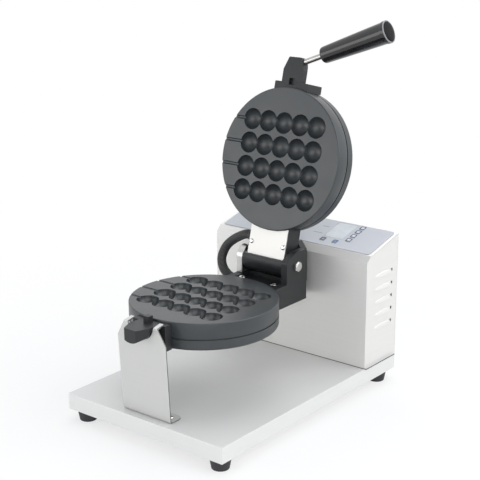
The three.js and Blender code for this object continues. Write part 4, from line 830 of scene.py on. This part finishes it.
def element_clamp(node, after):
    """A thin disc that is raised round its middle."""
    left, right = span("lower_element_clamp", "x")
    radius, rise, thick = (right - left) / 2, tall("lower_element_clamp"), 1.6
    edge, hub, fillet, hub_edge = 0.3, 14, 1.5, 0.4
    profile = [(0, 0), (radius - edge, 0), (radius, edge), (radius, thick - edge), (radius - edge, thick),
               *arc(hub + fillet, thick + fillet, fillet, -90, -180, 3), (hub, rise - hub_edge),
               (hub - hub_edge, rise), (0, rise)]
    origin = Vector((PAN_CENTRE.x, PAN_CENTRE.y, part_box("lower_element_clamp")[0].z))
    hand_over(turned(node + "_form", profile, 96, origin, "+Z", after), node)


# Hinge, yoke and shaft
def about_pin(name, profile, sides):
    return turned(name, profile, sides, PIN_LINE, "+X")


def about_shaft(node, profile, sides=80):
    hand_over(turned(node + "_form", profile, sides, SHAFT_LINE, "+Y"), node)


def bored_nut(node, origin, axis, corner, bore, chamfer):
    """A hexagonal nut as long as its CAD node."""
    low, high = span(node, axis[1].lower())
    nut = turned(node + "_form", hexagon(corner, low, high, chamfer), 6, origin, axis)
    hole = turned("bore", rod(bore, low - OVERRUN, high + OVERRUN), 40, origin, axis)
    hand_over(carve(nut, hole), node)


def hinge_pin():
    """A pin with a hexagonal head under a round crown, at the right."""
    start, stop = span("hinge_pin", "x")
    radius, tip, lead = 4.98, 4.4, 0.6
    corner, head_height, crown_height = 7.1, 4.2, 5.2
    crown, crown_edge, crown_base, crown_side = 5.8, 0.8, 2, 4.5
    face = stop - crown_height
    shank = [(0, start), (tip, start), (radius, start + lead), (radius, face), (0, face)]
    dome = [(0, face + crown_base), (crown, face + crown_base), (crown, face + crown_side),
            *arc(crown - crown_edge, stop - crown_edge, crown_edge, 0, 90, 3)[1:], (0, stop)]
    pin = about_pin("hinge_pin_form", shank, 48)
    head = about_pin("head", hexagon(corner, face, face + head_height, 0.5), 6)
    carve(pin, head, about_pin("crown", dome, 48), operation="UNION")
    hand_over(pin, "hinge_pin")


def hinge_washers():
    for side in ("left", "right"):
        node = "hinge_washer_" + side
        hand_over(about_pin(node + "_form", collar(5.3, 10, *span(node, "x"), 0.3), 56), node)


def flip_shaft():
    """A hollow shaft with a flange bolted to the yoke."""
    front, rear = span("flip_shaft", "y")
    bore, shaft, flange, thick, edge, tail = 7.5, 11, 27, 4, 0.6, 0.5
    about_shaft("flip_shaft", [
        (bore, front), (flange - edge, front), (flange, front + edge), (flange, front + thick - edge),
        (flange - edge, front + thick), (shaft + 1, front + thick), (shaft, front + thick + edge),
        (shaft, rear - tail), (shaft - tail, rear), (bore, rear), (bore, front)])
    bolt_circle, bolt_seat = 19, 3.9
    bolt = [(0, 0), (2.5, 0), (2.5, 0.25), (2.3, 0.55), (1.2, 0.6), (1.2, 0.3), (0, 0.3)]
    for index, turn in enumerate(QUARTERS):
        place = SHAFT_LINE + Vector((bolt_circle * cos(turn), front + bolt_seat,
                                     bolt_circle * sin(turn))) * MM
        extra(turned(f"shaft_flange_bolt_{index + 1}", bolt, 32, place, "+Y"), "pans", "zinc_steel")


def shaft_bearing():
    """A bronze sleeve with a collar in front of the housing."""
    front, rear = span("shaft_bearing", "y")
    bore, sleeve, shoulder, thick, edge = 11.3, 15, 22, 3.5, 0.4
    about_shaft("shaft_bearing", [
        (bore, front + edge), (bore + edge, front), (shoulder - edge, front), (shoulder, front + edge),
        (shoulder, front + thick), (sleeve, front + thick), (sleeve, rear - edge), (sleeve - edge, rear),
        (bore, rear), (bore, front + edge)])


def shaft_rings():
    for node, edge in (("friction_washer", 0.2), ("shaft_collar", 0.6)):
        about_shaft(node, collar(11.3, 17, *span(node, "y"), edge), 72)
    low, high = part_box("shaft_collar")
    place = Vector((MID_X, (low.y + high.y) / 2, high.z - 0.5 * MM))
    extra(socket_screw("collar_set_screw", place, "+Z", COLLAR_SCREW), "pans", "zinc_steel")


def side_screws():
    """The screws of the yoke, of the bracket and of the lid's neck, one at each side."""
    neck_x, neck_y, neck_z = 25.9, -21.1, 4.7
    nut_corner, nut_low, nut_high = 4.1, 0.1, 3.2
    for side, way in (("left", -1), ("right", 1)):
        node = "yoke_screw_" + side
        place = over(node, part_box(node)[1].z - YOKE_SCREW.head_height * MM)
        hand_over(socket_screw(node + "_form", place, "+Z", YOKE_SCREW), node)
        node = "cradle_screw_" + side
        low, high = span(node, "z")
        place = over(node, (high - CRADLE_SCREW.head_height) * MM)
        screw = cross_screw(node + "_form", place, "+Z", CRADLE_SCREW)
        with_nut(screw, node, nut_corner, low + nut_low, low + nut_high)
        node = "neck_plate_screw_" + side
        place = Vector((MID_X, HINGE.y, FLIP_Z)) + Vector((way * neck_x, neck_y, neck_z)) * MM
        hand_over(cross_screw(node + "_form", place, "-Z", NECK_SCREW, OPEN_LID), node)


def feet():
    """Tapered rubber feet with a rounded sole and a recess, and their screws and nuts."""
    bore, recess, recess_depth, edge = 2.7, 5.4, 5, 0.3
    sole, sole_edge, brim, lip, flare = 9.8, 1, 13.2, 0.9, 1.6
    head_room, nut_corner, nut_high, nut_low = 2.6, 4.5, 0.1, 3.4
    for corner in ("front_left", "front_right", "rear_left", "rear_right"):
        node = "foot_" + corner
        bottom, top = span(node, "z")
        roof = bottom + recess_depth
        profile = [(bore, roof), (recess - edge, roof), (recess, roof - 0.4), (recess, bottom + edge),
                   (recess + edge, bottom), *arc(sole, bottom + sole_edge, sole_edge, -90, -8, 4),
                   (brim - edge, top - flare), *arc(brim - lip, top - lip, lip, 0, 90, 4),
                   (bore, top), (bore, roof)]
        hand_over(turned(node + "_form", profile, 64, over(node, 0)), node)
        node = "foot_screw_" + corner
        low, high = span(node, "z")
        screw = cross_screw(node + "_form", over(node, (low + head_room) * MM), "-Z", FOOT_SCREW)
        with_nut(screw, node, nut_corner, high - nut_low, high - nut_high)


# The conduit's glands, 0.3 outside the closed lid's neck and the yoke, from the hinge
LID_GLAND, YOKE_GLAND = (-30.3, -27.3, -0.5), (-43.8, -3, -36.75)


def conduit_and_glands():
    """The lead loop between yoke and lid neck, its route in its own radii from either end."""
    inside, radius = Vector((-6.3, 0, 0)) * MM, 6.2 * MM
    lid_place = HINGE + Vector(LID_GLAND) * MM
    yoke_place = HINGE + Vector(YOKE_GLAND) * MM
    hollow_gland("lid_conduit_gland", lid_place, "-X", CONDUIT_GLAND, OPEN_LID)
    hollow_gland("yoke_conduit_gland", yoke_place, "-X", CONDUIT_GLAND)
    start = OPEN_LID @ (lid_place + inside)
    end = yoke_place + inside
    from_lid = ((-1, 0, 0), (-2.6, 0.15, -0.65), (-4.6, 0.15, -1.8), (-6.2, -0.25, -3.3))
    from_yoke = ((-4.7, 0.65, 5.3), (-4.7, 0.05, 3.7), (-4, -0.25, 2.05), (-2.7, -0.2, 0.75), (-1, 0, 0))
    points = [start, *(start + Vector(step) * radius for step in from_lid),
              *(end + Vector(step) * radius for step in from_yoke), end]
    route = curve(points, 6)
    sleeve = tube("flexible_conduit_form", route, radius, 28)
    smooth(sleeve)
    sleeve.data.materials.append(MATERIALS["conduit_rubber"])
    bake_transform(sleeve)
    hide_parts("flexible_conduit")


# Handle
def handle_part(name, profile, sides):
    """Turned about the line that stands square on the closed upper lug's right chamfer."""
    origin = Vector((MID_X, HINGE.y, FLIP_Z)) + Vector((11.446, -260.008, 9.05)) * MM
    along = Vector((16.2, -6.6, 0)).normalized()
    turn = Vector((0, 0, 1)).rotation_difference(along).to_matrix().to_4x4()
    return turned(name, profile, sides, origin, turn, OPEN_LID)


def handle():
    """The rod, the widening grip, the lip at its end, painted a lighter grey as a highlight, and the cap inside
    the lip.
    """
    rod_radius, rod_edge, rod_start, rod_end = 3.8, 0.4, -8, 99
    bore, mouth, start, stop, socket = 4.1, 12.9, 29, 125.8, 122
    steel = [(0, rod_start), (rod_radius - rod_edge, rod_start), (rod_radius, rod_start + rod_edge),
             (rod_radius, rod_end - rod_edge), (rod_radius - rod_edge, rod_end), (0, rod_end)]
    hand_over(handle_part("handle_rod_form", steel, 48), "handle_rod", DRAWN_ROD)
    swell = [(11, 34), (11.35, 45), (11.9, 60), (12.5, 78), (13.2, 100), (13.75, 120), (14.3, 121.8),
             (14.5, 123)]
    grip = [(bore, start), (7.6, start), *arc(7.8, start + 3, 3, -90, -14, 6)[1:], *swell, (14.5, stop),
            (mouth, stop), (mouth, socket), (bore, socket), (bore, start)]
    hand_over(handle_part("handle_grip_form", grip, 72), "handle_grip")
    lip = [(mouth, 125.9), (14.5, 125.9), *arc(13.7, 126.2, 0.8, 0, 90, 4), (mouth, 127), (mouth, 125.9)]
    # Painted highlight: the lip ring is lighter grey than the grip, standing for light caught on its edge.
    extra(handle_part("grip_lip", lip, 72), "lid", "black_grip", LIP_HIGHLIGHT_GREY)
    cap = [(0, 122.3), (12.6, 122.3), (12.6, 126.7), (12.2, 127.3), (10.6, 127.9), (7, 128.4), (3, 128.6),
           (0, 128.6)]
    hand_over(handle_part("grip_end_cap_form", cap, 64), "grip_end_cap", CAP_BLACK)


# Stand and housing
def vented_shell():
    """The housing with the rear end of every louvre cut open, on both sides."""
    louvres, pitch, lowest, rear = 5, 17.7, 49.5, 62.2
    near, far, length, height, sink = 122.4, 128.6, 3.7, 4.2, 0.05
    slots = []
    corner = Vector((MID_X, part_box("housing_shell")[0].y, TRAY_HIGH.z))
    for side in (-1, 1):
        for step in range(louvres):
            outline = rectangle(side * near, side * far, rear - length, rear)
            level = lowest + step * pitch
            slots.append(prism("slot", outline, level - sink, level + height, corner))
    shell = carve(cad_copy("housing_shell"), *slots)
    hand_over(soften(shell, 0.35), "housing_shell", angle=55)


def rear_cover_screws():
    inset, y = 7.2 * MM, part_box("rear_cover")[1].y
    places = [(x, TRAY_HIGH.z + rise * MM) for x in (TRAY_LOW.x + inset, TRAY_HIGH.x - inset)
              for rise in (12, 132.965)]
    for index, (x, z) in enumerate(places):
        screw = cross_screw(f"rear_cover_screw_{index + 1}", Vector((x, y, z)), "+Y", REAR_SCREW)
        extra(screw, "stand", "zinc_steel")


def supply_gland():
    low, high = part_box("cable_gland")
    centre = (low + high) / 2
    corner = CABLE_GLAND.across / sqrt(3)
    hollow_gland("cable_gland", Vector((centre.x, TRAY_HIGH.y + 0.3 * MM, centre.z)), "+Y", CABLE_GLAND)
    bored_nut("cable_gland_nut", Vector((centre.x, 0, centre.z)), "+Y", corner, 8.3, 0.6)


def foot_seal():
    """A dark seal bead along the foot of the housing, at its front and right side, whose dark colour also paints
    the shadow in the joint.
    """
    left, right = span("housing_shell", "x")
    front, back = span("housing_shell", "y")
    foot = TRAY_HIGH.z / MM
    proud, deep, clear = 0.3, 0.9, 3
    front_run = rectangle(left + clear, right + proud, front - proud, front + deep)
    side_run = rectangle(right - deep, right + proud, front + deep, back - clear)
    for side, outline, rise in (("foot", front_run, 0.8), ("side", side_run, 0.45)):
        seal = prism(f"housing_{side}_seal", outline, foot + 0.02, foot + rise)
        extra(seal, "stand", "foot_rubber", SEAL_AND_GAP_SHADE)


def transformer():
    """A laminated core with its taped winding through it."""
    bottom, top = span("transformer", "z")
    place, window = over("transformer", 0), 8
    core = prism("transformer_core", rounded(0, 0, 26, 18, 0.6, 2), bottom, top, place)
    hand_over(soften(core, 0.4), "transformer")
    tape = rounded(0, 0, 17, 23, 3, 4)
    winding = prism("transformer_winding", tape, bottom + window, top - window, place)
    extra(soften(winding, 0.8, 3), "stand", "varnished_core", COPPER_TAPE)
    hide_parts("transformer")


def terminal_screws():
    low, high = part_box("terminal_block")
    poles, sunk = 4, 5.5 * MM
    for index in range(poles):
        x = low.x + (high.x - low.x) * (index + 0.5) / poles
        place = Vector((x, (low.y + high.y) / 2, high.z - sunk))
        screw = cross_screw(f"terminal_screw_{index + 1}", place, "+Z", TERMINAL_SCREW)
        extra(screw, "stand", "bearing_bronze")


# The wiring's route from the shaft down to the terminal block, from the tray's front edge
LOOM_ROUTE = ((0, 311.21, 121.265), (0, 319.21, 121.265), (-13, 328.21, 106.265), (-39, 342.21, 60.63),
              (-65, 342.21, 44.6), (-65, 342.21, 20.6))
LOOM_RADIUS = 2.9


def inner_loom():
    points = [TRAY_FRONT + Vector(point) * MM for point in LOOM_ROUTE]
    hand_over(tube("inner_loom_form", curve(points, 6), LOOM_RADIUS * MM, 16), "inner_loom")


# Print on the sloped panel: places from the middle of its front edge, in its own plane
SLOPE = radians(14.2)
PANEL_FRONT, PANEL_RISE, PANEL_REAR, PANEL_THICK = 300.91, 152.965, 367.21, 1.2
PANEL_LENGTH = (PANEL_REAR - PANEL_FRONT) / cos(SLOPE) - PANEL_THICK * tan(SLOPE)
PANEL_PLACE = TRAY_FRONT + Vector((0, PANEL_FRONT, PANEL_RISE)) * MM
PANEL = Matrix.Translation(PANEL_PLACE) @ Matrix.Rotation(SLOPE, 4, "X")
FILM_WIDTH, FILM_INSET = 242, 2
FILM_TOP, KEY_TOP = 0.9, 1.6
INK_SINK, INK_THICK = 0.02, 0.06


def film_place(across_share, along_share):
    return across_share * FILM_WIDTH, FILM_INSET + along_share * (PANEL_LENGTH - 2 * FILM_INSET)


def lay_print(piece, ink):
    piece.data.transform(PANEL)
    extra(piece, "stand", "membrane_film", INKS[ink])


def print_pad(name, ink, outline, level):
    lay_print(prism(name, outline, level - INK_SINK, level + INK_THICK), ink)


def print_key(name, ink, x, y, half, corner):
    print_pad(name, ink, rounded(x, y, half, half, corner), KEY_TOP)


def print_frame(name, ink, x, y, half_x, half_y, width, corners, level, thick=INK_THICK):
    """A printed frame: its middle, outer half sizes, line width, and outer and inner corner radius."""
    outer = prism(name, rounded(x, y, half_x, half_y, corners[0]), level - INK_SINK, level + thick)
    inner = prism("inner", rounded(x, y, half_x - width, half_y - width, corners[1]), level - OVERRUN,
                  level + OVERRUN)
    lay_print(carve(outer, inner), ink)


def print_bar(name, ink, x, y, length, width, level):
    print_pad(name, ink, rectangle(x - length / 2, x + length / 2, y - width / 2, y + width / 2), level)


def panel_print():
    """Two marked keys, a column of four framed keys, the display's frame and two dashes."""
    mark_top, key_half, key_corner, small_half, key_step = KEY_TOP + INK_THICK, 3.9, 1.3, 2.4, 11.4
    x, y = film_place(0.165, 0.215)
    print_key("dark_key_face", "dark_ink", x, y, key_half, key_corner)
    print_frame("dark_key_mark", "pale_ink", x, y, 1.5, 1.5, 0.55, (1.3, 0.7), mark_top)
    x, y = film_place(0.247, 0.205)
    print_key("blue_key_face", "blue_ink", x, y, key_half, key_corner)
    print_bar("blue_key_mark", "pale_ink", x, y, 2.4, 0.5, mark_top)
    x, y = film_place(0.31, 0.36)
    for key in range(1, 5):
        print_key(f"column_key_face_{key}", "face_ink", x, y, small_half, 0.8)
        print_frame(f"column_key_frame_{key}", "frame_ink", x, y, 4, 4, 1.5, (1.3, 0.7), KEY_TOP)
        y += key_step
    x, y = film_place(0.206, 0.65)
    print_frame("display_frame_print", "faint_ink", x, y, 16.6, 21.6, 0.9, (1.5, 0.8), FILM_TOP, 0.05)
    for index, (x, y, length) in enumerate(((23.5, 47.09, 10), (22.5, 29.09, 14))):
        print_bar(f"printed_dash_{index + 1}", "grey_ink", x, y, length, 1.2, FILM_TOP)


# Everything in the order in which the pieces are made
for label, lid_or_pan, turn_over in (("lower", "pans", AS_DRAWN), ("upper", "lid", OVER_MATE)):
    mould_plate(label + "_mould_plate", turn_over)
    heater_cover(label + "_heater_cover", turn_over)
    heating_element(label + "_heating_element", turn_over)
    element_clamp(label + "_element_clamp", turn_over)
    dressed(label + "_front_lug", 0.7, 3, PAINTED_CASTING)
    cover_screws(label, lid_or_pan, turn_over)
dressed("lower_yoke", 1.1, 3, PAINTED_CASTING)
dressed("lid_neck", 0.9, 3, PAINTED_CASTING)
dressed("neck_cover_plate", 0.3, 2, SATIN_PLATE)
dressed("left_hinge_ear", 0.7, 3, SATIN_STEEL)
hinge_pin()
bored_nut("hinge_pin_nut", PIN_LINE, "+X", 7.2, 5.25, 0.7)
hinge_washers()
flip_shaft()
shaft_bearing()
shaft_rings()
side_screws()
feet()
conduit_and_glands()
handle()
dressed("base_tray", 0.7, 3, TRAY_SHEET)
dressed("cradle_bracket", 0.25, 2, BRACKET_SHEET)
vented_shell()
for plain_node, rounding in (("rear_cover", 0.25), ("top_panel", 0.25), ("display_module", 0.3),
                             ("terminal_block", 0.5), ("display_window", 0.2), ("control_overlay", 0.12)):
    dressed(plain_node, rounding)
dressed("control_board", 0.1, 1)
rear_cover_screws()
supply_gland()
foot_seal()
transformer()
terminal_screws()
inner_loom()
panel_print()
